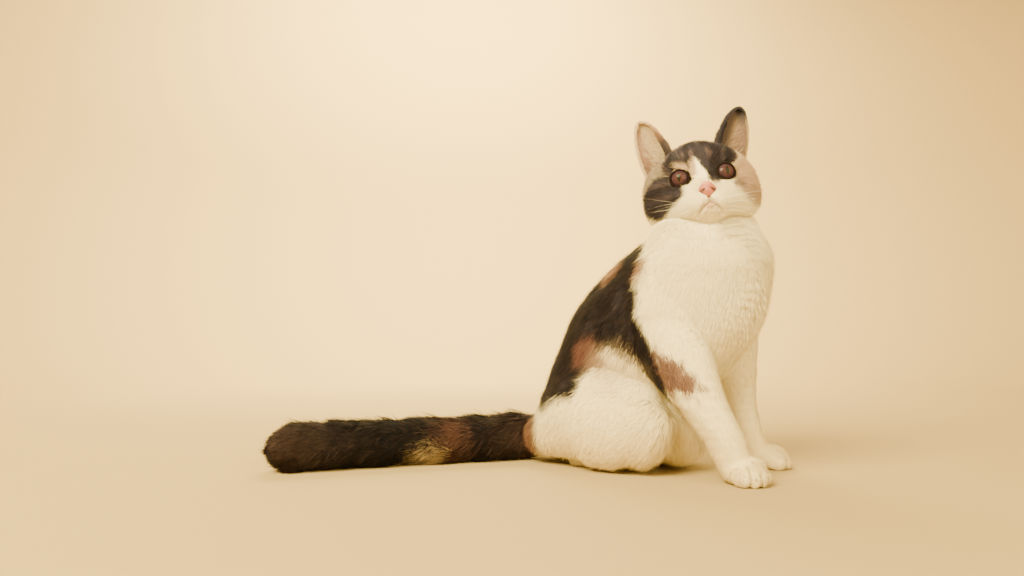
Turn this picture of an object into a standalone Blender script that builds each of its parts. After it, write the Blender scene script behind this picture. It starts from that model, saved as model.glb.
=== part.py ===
"""A British shorthair cat, sitting, modelled at life size as a still museum figure.

Metres, +Z up, and the trunk faces -Y, so +X is the cat's own left. Sizes and places are
written in millimetres and turned into metres by MM. Every outline is the outline of the
coat. The flesh is modelled whole, fused and smoothed like clay, and then parted with thin
cuts into the pieces that a person would name. Eyes, ears and the nose are pieces of their
own, set into the head.
"""

import math

import bmesh
import bpy
import numpy as np
from mathutils import Matrix, Vector

MM = 0.001
GAP = 0.3

# The forms are placed from the floor under the root of the tail. At the end the whole cat is
# moved, so that the origin is on the floor below the middle of its box.

RINGS_PER_SPAN = 6
SIDES = 40
END_RINGS = 5
END_BULGE = 0.55

BODY_VOXEL = 3.2
HEAD_VOXEL = 1.8
BODY_SMOOTHING = 9
HEAD_SMOOTHING = 4
BODY_TRIANGLES = 5400
HEAD_TRIANGLES = 3800

# The head sits at this place and is turned to the cat's right, raised and tilted.
HEAD_CENTRE = (-6.5, -177.5, 294.4)
HEAD_TURN = -70.0
HEAD_RAISE = 4.0
HEAD_TILT = -7.0

# Half width, half length and half height of the skull's plain form.
SKULL = (49.0, 47.0, 42.0)

# Forms raised on the skull: name, longitude from the face towards the cat's left, latitude,
# height, and the spread each way, in degrees. A form off the middle is on both sides.
HEAD_FORMS = (
    ("cheek", 68, -20, 9.0, 28, 24),
    ("cheek_low", 80, -34, 6.0, 20, 13),
    ("jowl", 54, -46, 8.5, 24, 15),
    ("muzzle", 0, -33, 11.0, 21, 13),
    ("whisker_pad", 15, -37, 6.5, 10, 8),
    ("nose_bridge", 0, -15, 7.5, 11, 12),
    ("chin", 0, -53, 11.0, 12, 7),
    ("brow", 30, 20, 3.0, 16, 11),
    ("forehead", 0, 34, 1.5, 26, 18),
    ("eye_hollow", 30, -7, -4.5, 13, 12),
    ("ear_front", 64, 42, -3.0, 15, 15),
    ("nape", 180, -10, 6.0, 50, 40),
)

# Places in the head's own frame, whose face looks along -Y.
EYE_PLACE = (20.4, -33.5, -4.2)
EYE_RADIUS = 11.6
EYE_TURN = 14.0
LID_DEPTH = 1.7
LID_OPENING = (10.0, 9.2)

NOSE_PLACE = (0.0, -58.5, -23.0)
NOSE_HALVES = (9.2, 9.0, 7.2)
NOSTRIL_PLACE = (5.0, -63.5, -25.0)
NOSTRIL_HALVES = (2.3, 3.4, 1.5)

# The line of the mouth on the head's surface, longitude and latitude from its middle out.
MOUTH_LINE = ((0, -28), (0, -31.3), (4.5, -33.8), (8.5, -36.8), (12.0, -40.5))
MOUTH_RADIUS = 0.9

# Each ear in the head's frame: its inner root, outer root and tip. The cat turns them apart.
EARS = {
    "left": ((23.5, 3.0, 36.0), (50.5, 11.0, 13.0), (56.0, 8.0, 76.0)),
    "right": ((-21.0, 2.0, 35.0), (-49.0, 9.0, 12.0), (-48.5, 6.0, 77.5)),
}
EAR_CUP = 13.0
EAR_ROWS = 12
EAR_WALL = 2.4

# The trunk's rings, from the rump up to the head. Each row: x, the back's y and z, the
# breast's y and z, the half width, and the turn of the ring about the vertical.
TRUNK = (
    (0, 2, 40, -50, 18, 43, 0),
    (0, 1, 66, -84, 34, 56, 0),
    (0, -9, 95, -122, 46, 62, 0),
    (0, -23, 129, -168, 74, 65, 0),
    (0, -37, 160, -208, 108, 69, -3),
    (0, -58, 188, -237, 148, 71, -8),
    (-1, -86, 213, -248, 188, 70, -16),
    (-3, -119, 235, -246, 218, 64, -26),
    (-5, -140, 254, -230, 243, 59, -40),
    (-6, -148, 278, -212, 270, 48, -55),
)

# Each row of a limb: x, y, z of its path, half width across it and half depth in its own plane.
BELLY = (
    (4, -140, 110, 46, 40),
    (6, -142, 70, 46, 38),
    (8, -146, 40, 42, 34),
)
FORELEG_RIGHT = (
    (-44, -150, 190, 24, 36),
    (-52, -156, 140, 26, 33),
    (-53, -172, 104, 24, 31),
    (-50, -190, 68, 20.5, 23),
    (-46, -209, 34, 18.2, 18.5),
    (-44, -215, 15, 17.5, 17),
)
FORELEG_LEFT = (
    (45, -166, 190, 30, 46),
    (47, -187, 140, 29, 38),
    (48, -196, 104, 24, 27),
    (50, -202, 68, 18, 19),
    (51, -209, 36, 16.5, 17),
    (53, -217, 15, 17, 16),
)
HAUNCH = (
    (27, -16, 33, 27, 26),
    (36, -48, 48, 31, 43),
    (48, -80, 57, 32, 54),
    (51, -116, 50, 28, 48),
    (49, -138, 41, 21, 34),
)
HIND_FOOT = ((31, -52, 13, 13, 13.6), (31, -88, 13, 13.5, 13.6), (31, -121, 12.5, 14, 13.2))
TAIL = (
    (0, -8, 32, 24, 24),
    (-16, 22, 26, 24.5, 25),
    (-54, 64, 24, 24.5, 24.6),
    (-101, 108, 24, 25, 24.6),
    (-153, 154, 24, 25, 24.6),
    (-199, 192, 23.5, 24, 24.2),
)

# Paw: place of its middle, the way its toes point, half width, length and height.
PAWS = {
    "right": ((-45.5, -221.5, 13), -38.0, (20, 24, 15)),
    "left": ((53, -224, 12), 6.0, (19, 25, 14)),
}
TOE_RADIUS = 8.4
TOE_HEIGHT = 8.8
TOE_SPREADS = ((-0.66, 0.60), (-0.24, 0.80), (0.24, 0.80), (0.66, 0.60))

# Where the pieces part: a place on each cut and the way it faces.
NECK_CUT = ((-4, -178, 246), (-0.27, -0.09, 1.0))
CHEST_CUT = ((-2, -172, 214), (0.0, -0.35, 0.93))
LOIN_CUT = ((0, -92, 112), (0.0, -0.6, 0.8))
TAIL_CUTS = (
    ((-12, 15, 26), (-0.45, 0.9, 0.0)),
    ((-62, 72, 24), (-0.72, 0.69, 0.0)),
    ((-118, 123, 24), (-0.74, 0.66, 0.0)),
    ((-172, 170, 24), (-0.77, 0.63, 0.0)),
)
WRIST_HEIGHT = 38.0
LIMB_MARGIN = 6.0
FOOT_MARGIN = 3.0
REGION_SIDES = 14
REGION_RINGS = 14

COLOURS = {
    "white": (0.87, 0.78, 0.62),
    "dark": (0.10, 0.075, 0.06),
    "grey": (0.22, 0.19, 0.18),
    "nose": (0.72, 0.36, 0.30),
    "ear": (0.78, 0.55, 0.45),
    "iris": (0.33, 0.13, 0.06),
}


def clear_scene():
    """Removes every object that the file opened with."""
    for old in list(bpy.data.objects):
        bpy.data.objects.remove(old, do_unlink=True)


def new_object(name, points, faces):
    """A mesh object whose points are given in millimetres."""
    mesh = bpy.data.meshes.new(name)
    mesh.from_pydata((np.asarray(points, float) * MM).tolist(), [], faces)
    mesh.update()
    made = bpy.data.objects.new(name, mesh)
    bpy.context.scene.collection.objects.link(made)
    return made


def ring_faces(rings, sides):
    """Four-sided faces between rings of points that are listed one after another."""
    faces = []
    for i in range(rings - 1):
        for j in range(sides):
            k = (j + 1) % sides
            faces.append((i * sides + j, i * sides + k, (i + 1) * sides + k, (i + 1) * sides + j))
    return faces


def smooth_rows(rows, per_span):
    """The rows with more between them, on a Catmull-Rom curve through them."""
    rows = np.asarray(rows, float)
    padded = np.vstack([2 * rows[0] - rows[1], rows, 2 * rows[-1] - rows[-2]])
    found = []
    for i in range(len(rows) - 1):
        a, b, c, d = padded[i : i + 4]
        for t in np.linspace(0, 1, per_span, endpoint=False):
            steady = 2 * b + (c - a) * t
            bend = (2 * a - 5 * b + 4 * c - d) * t**2 + (3 * b - a - 3 * c + d) * t**3
            found.append(0.5 * (steady + bend))
    found.append(rows[-1])
    return np.array(found)


def rounded_ends(rows, steps):
    """The rows with a half dome of shrinking rings added at each end."""
    ends = []
    for at, beyond in ((0, 1), (-1, -2)):
        out = rows[at, :3] - rows[beyond, :3]
        out /= np.linalg.norm(out)
        reach = min(rows[at, 3], rows[at, 4])
        dome = []
        for k in range(1, steps + 1):
            angle = 0.5 * math.pi * k / (steps + 0.35)
            ring = rows[at].copy()
            ring[:3] += out * reach * math.sin(angle)
            ring[3:] *= math.cos(angle)
            dome.append(ring)
        ends.append(dome)
    return np.array(ends[0][::-1] + list(rows) + ends[1])


def sleeve(name, path, side, deep):
    """A closed tube of oval rings, each by its middle and its two half axes."""
    sides = SIDES if len(path) > REGION_RINGS else REGION_SIDES
    angle = np.linspace(0, 2 * math.pi, sides, endpoint=False)[None, :, None]
    points = path[:, None] + np.cos(angle) * side[:, None] + np.sin(angle) * deep[:, None]
    faces = ring_faces(len(path), sides)
    faces.append(tuple(range(sides))[::-1])
    faces.append(tuple((len(path) - 1) * sides + j for j in range(sides)))
    return new_object(name, points.reshape(-1, 3), faces)


def loft(name, rows, across=(1, 0, 0), margin=0.0, per_span=RINGS_PER_SPAN):
    """A closed tube of oval rings along a path. across is the way its width lies."""
    rings = smooth_rows(rows, per_span)
    rings[:, 3:] += margin
    rings = rounded_ends(rings, max(2, per_span))
    along = np.gradient(rings[:, :3], axis=0)
    along /= np.linalg.norm(along, axis=1)[:, None]
    side = np.asarray(across, float) - (along @ np.asarray(across, float))[:, None] * along
    side /= np.linalg.norm(side, axis=1)[:, None]
    deep = np.cross(along, side)
    return sleeve(name, rings[:, :3], side * rings[:, 3:4], deep * rings[:, 4:5])


def trunk():
    """The trunk and neck: a ring between each place on the back and its place on the breast."""
    rows = smooth_rows(TRUNK, RINGS_PER_SPAN)
    x, back_y, back_z, front_y, front_z, width, turn = rows.T
    turn = np.radians(turn)
    path = np.stack([x, (back_y + front_y) / 2, (back_z + front_z) / 2], 1)
    depth, rise = (back_y - front_y) / 2, (back_z - front_z) / 2
    side = np.stack([np.cos(turn), np.sin(turn), 0 * turn], 1) * width[:, None]
    deep = np.stack([-np.sin(turn) * depth, np.cos(turn) * depth, rise], 1)
    ends = []
    for at, beyond in ((0, 1), (-1, -2)):
        out = path[at] - path[beyond]
        out *= width[at] / np.linalg.norm(out)
        for k in range(1, END_RINGS + 1):
            angle = 0.5 * math.pi * k / (END_RINGS + 0.35)
            shrink = math.cos(angle)
            middle = path[at] + out * math.sin(angle) * END_BULGE
            ends.append((middle, side[at] * shrink, deep[at] * shrink))
    low, high = ends[:END_RINGS][::-1], ends[END_RINGS:]
    parts = []
    for index, middle in enumerate((path, side, deep)):
        parts.append(np.vstack([[e[index] for e in low], middle, [e[index] for e in high]]))
    return sleeve("trunk", *parts)


def ball(name, place, halves, turn=0.0, matrix=None, segments=32):
    """An oval ball, by half width, length and height, turned about Z or placed by a matrix."""
    made = new_object(name, [], [])
    form = bmesh.new()
    bmesh.ops.create_uvsphere(form, u_segments=segments, v_segments=segments * 5 // 8, radius=1.0)
    form.to_mesh(made.data)
    form.free()
    spin = Matrix.Translation(Vector(place) * MM) @ Matrix.Rotation(math.radians(turn), 4, "Z")
    made.data.transform(spin @ Matrix.Diagonal((*(Vector(halves) * MM), 1)))
    if matrix:
        made.data.transform(matrix)
    return made


def block(name, place, halves, matrix=None):
    """A box by its middle and half sizes."""
    signs = [(x, y, z) for z in (-1, 1) for y in (-1, 1) for x in (-1, 1)]
    points = np.array(signs, float) * halves + place
    faces = [(0, 2, 3, 1), (4, 5, 7, 6), (0, 1, 5, 4), (2, 6, 7, 3), (0, 4, 6, 2), (1, 3, 7, 5)]
    made = new_object(name, points, faces)
    if matrix:
        made.data.transform(matrix)
    return made


def mirrored(rows):
    """The same rows on the cat's right side."""
    return [(-row[0], *row[1:]) for row in rows]


def head_matrix():
    """Carries the head's own frame, whose face looks along -Y, to its place."""
    return (
        Matrix.Translation(Vector(HEAD_CENTRE) * MM)
        @ Matrix.Rotation(math.radians(HEAD_TURN), 4, "Z")
        @ Matrix.Rotation(math.radians(-HEAD_RAISE), 4, "X")
        @ Matrix.Rotation(math.radians(HEAD_TILT), 4, "Y")
    )


def head_radius(lon, lat):
    """The skull's oval, plus each form as a soft hill of its height and spread."""
    flat = np.cos(lat)
    x, y, z = np.sin(lon) * flat, -np.cos(lon) * flat, np.sin(lat)
    radius = 1 / np.sqrt((x / SKULL[0]) ** 2 + (y / SKULL[1]) ** 2 + (z / SKULL[2]) ** 2)
    for _, form_lon, form_lat, height, spread_lon, spread_lat in HEAD_FORMS:
        for side in (1, -1) if 0 < form_lon < 180 else (1,):
            away = lon - math.radians(form_lon) * side
            away = (away + math.pi) % (2 * math.pi) - math.pi
            away = away * np.cos(0.5 * (lat + math.radians(form_lat)))
            rise = lat - math.radians(form_lat)
            far = (away / math.radians(spread_lon)) ** 2 + (rise / math.radians(spread_lat)) ** 2
            radius = radius + height * np.exp(-0.5 * far)
    return radius


def on_head(lon, lat):
    """Points on the head's surface, in its own frame, for arrays of angles in radians."""
    radius = head_radius(lon, lat)
    flat = np.cos(lat) * radius
    return np.stack([np.sin(lon) * flat, -np.cos(lon) * flat, np.sin(lat) * radius], -1)


def head_form():
    """The head without ears: a ball whose radius is head_radius."""
    around, up = 96, 64
    lon = np.linspace(-math.pi, math.pi, around, endpoint=False)
    lat = np.linspace(-math.pi / 2, math.pi / 2, up + 1)[1:-1]
    lon_grid, lat_grid = np.meshgrid(lon, lat)
    points = on_head(lon_grid, lat_grid).reshape(-1, 3)
    poles = on_head(np.zeros(2), np.array([-math.pi / 2, math.pi / 2]))
    low, high = len(points), len(points) + 1
    faces = ring_faces(up - 1, around)
    for j in range(around):
        k = (j + 1) % around
        faces.append((low, k, j))
        faces.append((high, (up - 2) * around + j, (up - 2) * around + k))
    made = new_object("head_form", np.vstack([points, poles]), faces)
    made.data.transform(head_matrix())
    return made


def eye_matrix(side):
    """Carries a ball that looks along -Y to the eye of one side."""
    place = Vector((side * EYE_PLACE[0], EYE_PLACE[1], EYE_PLACE[2])) * MM
    turn = Matrix.Rotation(math.radians(side * EYE_TURN), 4, "Z")
    return head_matrix() @ Matrix.Translation(place) @ turn


def eye_ball(name, side, more=0.0):
    """The eyeball of one side, or a ball a little larger."""
    radius = EYE_RADIUS + more
    return ball(name, (0, 0, 0), (radius, radius, radius), matrix=eye_matrix(side), segments=20)


def lid_opening(side):
    """The almond through the lids: an oval rod from the eye's middle out."""
    reach = EYE_RADIUS + 8
    place = (0, -reach, 0)
    halves = (LID_OPENING[0], reach, LID_OPENING[1])
    return ball("opening", place, halves, matrix=eye_matrix(side), segments=20)


def tube(name, points, radius):
    """A thin round tube through points in the head's frame."""
    rows = [(*point, radius, radius) for point in points]
    made = loft(name, rows, across=(0.1, 0.2, 1), per_span=1)
    made.data.transform(head_matrix())
    return made


def mouth_cutters():
    """The line of the mouth on each side, as tubes that lie half in the surface."""
    made = []
    for side in (1, -1):
        lon = np.radians([side * row[0] for row in MOUTH_LINE])
        lat = np.radians([row[1] for row in MOUTH_LINE])
        made.append(tube("mouth", on_head(lon, lat), MOUTH_RADIUS))
    return made


def ear(name, places):
    """A cupped ear: a triangle with a rounded tip, bent round its long axis."""
    inner, outer, tip = (np.array(place, float) for place in places)
    root = (inner + outer) / 2
    axis = tip - root
    edge = (outer - inner) / 2
    flat_edge = edge - axis * np.dot(edge, axis) / np.dot(axis, axis)
    back = np.cross(axis, edge)
    back *= np.sign(back[1]) / np.linalg.norm(back)
    v = np.linspace(-0.3, 1.0, EAR_ROWS)[:, None]
    u = np.linspace(-1, 1, EAR_ROWS)[None, :]
    up = np.clip(v, 0, 1)
    width = 0.98 * (1 - (0.985 * up) ** 2.1) ** 0.68 * (1 + 0.04 * np.sin(math.pi * up))
    across = edge * (1 - up)[..., None] + flat_edge * up[..., None]
    hollow = EAR_CUP * (1 - 0.75 * up) * (1 - u**2)
    front = root + axis * v[..., None] + across * (u * width)[..., None] + back * hollow[..., None]
    wall = EAR_WALL * (0.45 + 0.55 * (1 - u**2)) * (1 - 0.35 * up)
    rear = front + back * wall[..., None]
    grid = np.stack([front, rear])
    rows, columns = front.shape[:2]
    faces = []
    for i in range(rows - 1):
        for j in range(columns - 1):
            a = i * columns + j
            quad = (a, a + 1, a + columns + 1, a + columns)
            for triangle in ((0, 1, 2), (0, 2, 3)):
                faces.append(tuple(quad[k] for k in triangle))
                faces.append(tuple(rows * columns + quad[k] for k in triangle[::-1]))
    rim = list(range(columns))
    rim += [i * columns + columns - 1 for i in range(1, rows)]
    rim += [(rows - 1) * columns + j for j in range(columns - 2, -1, -1)]
    rim += [i * columns for i in range(rows - 2, 0, -1)]
    for a, b in zip(rim, rim[1:] + rim[:1]):
        faces.append((b, a, rows * columns + a, rows * columns + b))
    made = new_object(name, grid.reshape(-1, 3), faces)
    made.data.transform(head_matrix())
    return tidied(made)


def tidied(obj):
    """Joins points that coincide, splits the faces into triangles and turns them outwards."""
    form = bmesh.new()
    form.from_mesh(obj.data)
    bmesh.ops.remove_doubles(form, verts=form.verts, dist=0.05 * MM)
    bmesh.ops.triangulate(form, faces=form.faces)
    bmesh.ops.recalc_face_normals(form, faces=form.faces)
    form.to_mesh(obj.data)
    form.free()
    return obj


def paw(side):
    """A paw: an oval palm and four toes side by side at its front."""
    place, turn, halves = PAWS[side]
    made = [ball("palm", place, halves, turn)]
    face = Matrix.Rotation(math.radians(turn), 3, "Z")
    for spread, forward in TOE_SPREADS:
        step = face @ Vector((spread * halves[0], -forward * halves[1], 0))
        toe = (place[0] + step.x, place[1] + step.y, TOE_HEIGHT)
        made.append(ball("toe", toe, (TOE_RADIUS * 0.8, TOE_RADIUS * 1.1, TOE_RADIUS * 1.1), turn))
    return made


def body_clay():
    """Every form of the body below the head, before they are fused."""
    made = [trunk(), loft("belly", BELLY), loft("tail", TAIL, across=(0.7, 0.7, 0))]
    made += [loft("haunch", HAUNCH), loft("haunch", mirrored(HAUNCH))]
    made += [loft("hind_foot", HIND_FOOT), loft("hind_foot", mirrored(HIND_FOOT))]
    made += [loft("foreleg", FORELEG_RIGHT), loft("foreleg", FORELEG_LEFT)]
    made += paw("right") + paw("left")
    return made


def head_clay():
    """The head, the rounds of the lids, and the neck that it grows from."""
    lids = [eye_ball("lid", side, LID_DEPTH) for side in (1, -1)]
    return [head_form(), trunk(), *lids]


def baked(obj):
    """Applies the object's modifiers."""
    graph = bpy.context.evaluated_depsgraph_get()
    mesh = bpy.data.meshes.new_from_object(obj.evaluated_get(graph))
    obj.modifiers.clear()
    obj.data = mesh
    return obj


def largest_surface(obj):
    """Keeps only the largest closed surface of the mesh."""
    form = bmesh.new()
    form.from_mesh(obj.data)
    left = set(form.faces)
    shells = []
    while left:
        shell = [left.pop()]
        for face in shell:
            for edge in face.edges:
                for other in edge.link_faces:
                    if other in left:
                        left.remove(other)
                        shell.append(other)
        shells.append(shell)
    shells.sort(key=lambda shell: sum(face.calc_area() for face in shell))
    loose = [face for shell in shells[:-1] for face in shell]
    bmesh.ops.delete(form, geom=loose, context="FACES")
    stray = [point for point in form.verts if not point.link_faces]
    bmesh.ops.delete(form, geom=stray, context="VERTS")
    form.to_mesh(obj.data)
    form.free()
    return obj


def fused(name, pieces, voxel, smoothing, triangles):
    """One skin over the pieces: remeshed, smoothed, and thinned to a number of triangles."""
    form = bmesh.new()
    for piece in pieces:
        form.from_mesh(piece.data)
        bpy.data.objects.remove(piece, do_unlink=True)
    bmesh.ops.recalc_face_normals(form, faces=form.faces)
    made = new_object(name, [], [])
    form.to_mesh(made.data)
    form.free()
    remesh = made.modifiers.new("clay", "REMESH")
    remesh.mode = "VOXEL"
    remesh.voxel_size = voxel * MM
    soften = made.modifiers.new("soften", "SMOOTH")
    soften.factor = 0.5
    soften.iterations = smoothing
    baked(made)
    largest_surface(made)
    count = sum(len(p.vertices) - 2 for p in made.data.polygons)
    thin = made.modifiers.new("thin", "DECIMATE")
    thin.ratio = min(1.0, triangles / count)
    thin.use_collapse_triangulate = True
    return baked(made)


def combined(obj, others, operation, keep=False):
    """The object joined to, cut by, or kept only within other closed meshes."""
    for other in others:
        step = obj.modifiers.new(operation, "BOOLEAN")
        step.operation = operation
        step.solver = "MANIFOLD"
        step.object = other
        baked(obj)
        if not keep:
            bpy.data.objects.remove(other, do_unlink=True)
    return obj


def copy_of(obj, name):
    """A second object with its own copy of the mesh."""
    made = bpy.data.objects.new(name, obj.data.copy())
    bpy.context.scene.collection.objects.link(made)
    return made


def half_space(cut, side, reach=500.0):
    """A large box on one side of a cut, its face half the gap away from it."""
    place, facing = cut
    turn = Vector((0, 0, 1)).rotation_difference(Vector(facing).normalized()).to_matrix().to_4x4()
    matrix = Matrix.Translation(Vector(place) * MM) @ turn
    middle = side * (reach + GAP / 2)
    return block("side", (0, 0, middle), (reach, reach, reach), matrix=matrix)


def swollen(obj, by):
    """A copy of a closed mesh, grown outwards."""
    made = copy_of(obj, "swollen")
    swell = made.modifiers.new("swell", "DISPLACE")
    swell.strength = by * MM
    swell.mid_level = 0.0
    return baked(made)


def take(name, whole, region):
    """Parts a piece from the whole: what lies in a region. The whole loses a gap more."""
    grown = swollen(tidied(region), GAP)
    piece = combined(copy_of(whole, name), [region], "INTERSECT")
    largest_surface(piece)
    combined(whole, [grown], "DIFFERENCE")
    largest_surface(whole)
    return piece


def take_side(name, whole, cut, side):
    """Parts a piece from the whole at a flat cut."""
    piece = combined(copy_of(whole, name), [half_space(cut, side)], "INTERSECT")
    largest_surface(piece)
    combined(whole, [half_space(cut, -side)], "INTERSECT")
    largest_surface(whole)
    return piece


def above_floor(obj):
    """Cuts off what lies below the floor, which leaves flats at one level."""
    return combined(obj, [block("floor", (0, 0, -300), (900, 900, 300))], "DIFFERENCE")


def coloured(obj, colour, roughness=0.9):
    """Gives the object its own plain material."""
    material = bpy.data.materials.new(obj.name)
    material.use_nodes = True
    shader = material.node_tree.nodes["Principled BSDF"]
    shader.inputs["Base Color"].default_value = (*COLOURS[colour], 1)
    shader.inputs["Roughness"].default_value = roughness
    shader.inputs["Metallic"].default_value = 0.0
    obj.data.materials.clear()
    obj.data.materials.append(material)
    obj.data.shade_smooth()
    return obj


def build_body():
    """The body, parted into legs, paws, thighs, hind feet, tail, loin, chest and neck."""
    body = fused("torso_lower", body_clay(), BODY_VOXEL, BODY_SMOOTHING, BODY_TRIANGLES)
    above_floor(body)
    combined(body, [half_space(NECK_CUT, -1)], "INTERSECT")
    largest_surface(body)
    pieces = {}
    for index in range(len(TAIL_CUTS) - 1, -1, -1):
        name = "tail_" + str(index + 1)
        pieces[name] = take_side(name, body, TAIL_CUTS[index], 1)
    for name, rows in (("foreleg_right", FORELEG_RIGHT[1:]), ("foreleg_left", FORELEG_LEFT[1:])):
        floor_row = (*rows[-1][:2], -30, 45, 50)
        region = loft("region", [*rows, floor_row], margin=LIMB_MARGIN, per_span=1)
        pieces[name] = take(name, body, region)
        paw_name = name.replace("foreleg", "paw")
        cut = ((0, 0, WRIST_HEIGHT), (0, 0, 1))
        pieces[paw_name] = take_side(paw_name, pieces[name], cut, -1)
    thighs = (
        ("thigh_right", mirrored(HAUNCH), mirrored(HIND_FOOT)),
        ("thigh_left", HAUNCH, HIND_FOOT),
    )
    for name, rows, foot_rows in thighs:
        region = loft("region", rows, margin=LIMB_MARGIN, per_span=1)
        foot = loft("foot_region", foot_rows, margin=FOOT_MARGIN, per_span=1)
        pieces[name] = take(name, body, combined(region, [foot], "UNION"))
    pieces["neck"] = take_side("neck", body, CHEST_CUT, 1)
    pieces["torso_upper"] = take_side("torso_upper", body, LOIN_CUT, 1)
    pieces["torso_lower"] = body
    return pieces


def build_head():
    """The head with its sockets, lids, nostrils and mouth, and the nose, eyes and ears."""
    head = fused("head", head_clay(), HEAD_VOXEL, HEAD_SMOOTHING, HEAD_TRIANGLES)
    combined(head, [half_space(NECK_CUT, 1)], "INTERSECT")
    pieces = {"head": head}
    matrix = head_matrix()
    region = ball("region", NOSE_PLACE, NOSE_HALVES, matrix=matrix, segments=16)
    pieces["nose"] = take("nose", head, region)
    for side, word in ((1, "left"), (-1, "right")):
        place = (side * NOSTRIL_PLACE[0], NOSTRIL_PLACE[1], NOSTRIL_PLACE[2])
        nostril = ball("nostril", place, NOSTRIL_HALVES, matrix=matrix, segments=12)
        combined(pieces["nose"], [nostril], "DIFFERENCE")
        combined(head, [lid_opening(side), eye_ball("socket", side, GAP)], "DIFFERENCE")
        pieces["eye_" + word] = eye_ball("eye_" + word, side)
    combined(head, mouth_cutters(), "DIFFERENCE")
    largest_surface(head)
    for word, places in EARS.items():
        name = "ear_" + word
        pieces[name] = ear(name, places)
        combined(pieces[name], [swollen(head, GAP)], "DIFFERENCE")
        largest_surface(pieces[name])
    return pieces


def floor_centre(pieces):
    """The point on the floor below the middle of the box round all pieces."""
    points = [np.array([point.co for point in piece.data.vertices]) for piece in pieces]
    points = np.vstack(points)
    middle = (points.min(axis=0) + points.max(axis=0)) / 2
    return Vector((middle[0], middle[1], 0))


def main():
    clear_scene()
    pieces = build_body()
    pieces.update(build_head())
    shades = {"nose": "nose", "eye_left": "iris", "eye_right": "iris", "tail_1": "dark"}
    shades.update({"tail_2": "dark", "tail_3": "dark", "tail_4": "dark", "torso_upper": "grey"})
    shades.update({"ear_left": "ear", "ear_right": "ear"})
    move = Matrix.Translation(-floor_centre(pieces.values()))
    for name, piece in pieces.items():
        piece.name = name
        piece.data.transform(move)
        coloured(piece, shades.get(name, "white"), 0.15 if name.startswith("eye") else 0.9)


if __name__ == "__main__":
    main()
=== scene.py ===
"""The looks of a sitting British shorthair cat: skin, coat, eyes, ears, nose and whiskers.

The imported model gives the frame. Sizes and places are written in millimetres from the floor under
the root of the tail, with +Z up and the trunk facing -Y, and placed() turns them into metres in
the frame. One skin lies inside the solids by the depth of the coat, and tufts of hair as mesh
lie over it along the growth of the coat. Skin and tufts take their colours from coat_colour().
"""

import math

import bmesh
import bpy
import numpy as np
from bpy.props import FloatProperty, FloatVectorProperty, IntProperty, PointerProperty
from mathutils import Matrix, Vector


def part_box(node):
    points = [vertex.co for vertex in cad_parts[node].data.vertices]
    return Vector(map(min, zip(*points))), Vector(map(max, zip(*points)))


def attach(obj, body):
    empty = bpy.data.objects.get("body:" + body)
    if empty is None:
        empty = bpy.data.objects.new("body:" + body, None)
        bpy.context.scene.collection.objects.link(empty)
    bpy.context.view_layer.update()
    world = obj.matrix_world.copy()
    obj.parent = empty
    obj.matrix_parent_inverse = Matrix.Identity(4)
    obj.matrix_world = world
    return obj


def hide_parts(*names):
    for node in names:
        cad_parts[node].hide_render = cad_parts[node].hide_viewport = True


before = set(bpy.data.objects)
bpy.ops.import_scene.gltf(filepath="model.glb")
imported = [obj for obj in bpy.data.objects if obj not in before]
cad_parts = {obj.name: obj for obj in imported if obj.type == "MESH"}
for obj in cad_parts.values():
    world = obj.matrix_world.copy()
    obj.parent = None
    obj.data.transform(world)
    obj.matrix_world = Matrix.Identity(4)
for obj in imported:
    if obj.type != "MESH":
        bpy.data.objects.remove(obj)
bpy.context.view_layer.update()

bl_info = {
    "name": "Sitting shorthair cat",
    "version": (1, 0, 0),
    "blender": (4, 5, 0),
    "location": "3D View > Sidebar > Cat",
    "description": "Builds the skin, coat, eyes, ears, nose and whiskers of a sitting cat",
    "category": "Add Mesh",
}

MM = 0.001
# The first seed of the random draws. The coat's pieces count on from it.
SEED = 11
EAR_SEED = SEED + 30
WHISKER_SEED = SEED + 50

# Forms of the flesh

HEAD_CENTRE = (-6.5, -177.5, 294.4)
HEAD_TURN = -70.0
HEAD_RAISE = 4.0
HEAD_TILT = -7.0
SKULL = (49.0, 47.0, 42.0)

# Forms raised on the skull: longitude from the face towards the cat's left, latitude, height,
# and the spread each way, in degrees. A form off the middle is on both sides.
HEAD_FORMS = {
    "cheek": (68, -20, 9.0, 28, 24),
    "cheek_low": (80, -34, 6.0, 20, 13),
    "jowl": (54, -46, 8.5, 24, 15),
    "muzzle": (0, -33, 11.0, 21, 13),
    "whisker_pad": (15, -37, 6.5, 10, 8),
    "nose_bridge": (0, -15, 7.5, 11, 12),
    "chin": (0, -53, 11.0, 12, 7),
    "brow": (30, 20, 3.0, 16, 11),
    "forehead": (0, 34, 1.5, 26, 18),
    "eye_hollow": (30, -7, -4.5, 13, 12),
    "ear_front": (64, 42, -3.0, 15, 15),
    "nape": (180, -10, 6.0, 50, 40),
}
EYE_PLACE = (20.4, -33.5, -4.2)
EYE_RADIUS = 11.6
EYE_TURN = 14.0
LID_OPENING = (9.4, 8.5)
# The tear duct: how far it draws out the opening, its angle below the inner corner and its spread.
TEAR_DUCT = (0.30, 0.42, 0.26)
MOUTH_LINE = ((0, -28), (0, -31.3), (4.5, -33.8), (8.5, -36.8), (12.0, -40.5))

# Each ear in the head's frame: inner root, outer root and tip.
EARS = {
    "left": ((23.5, 3.0, 36.0), (50.5, 11.0, 13.0), (56.0, 8.0, 76.0)),
    "right": ((-21.0, 2.0, 35.0), (-49.0, 9.0, 12.0), (-48.5, 6.0, 77.5)),
}
EAR_CUP = 13.0
# Hairs of each ear: on its back, along its rim, and long ones across the cup.
EAR_BACK_HAIRS = 15000
EAR_RIM_HAIRS = 9000
EAR_STRANDS = 2400
# The warm colour of the strands in the grey ear.
WARM_STRANDS = (0.20, 0.115, 0.095)

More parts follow.
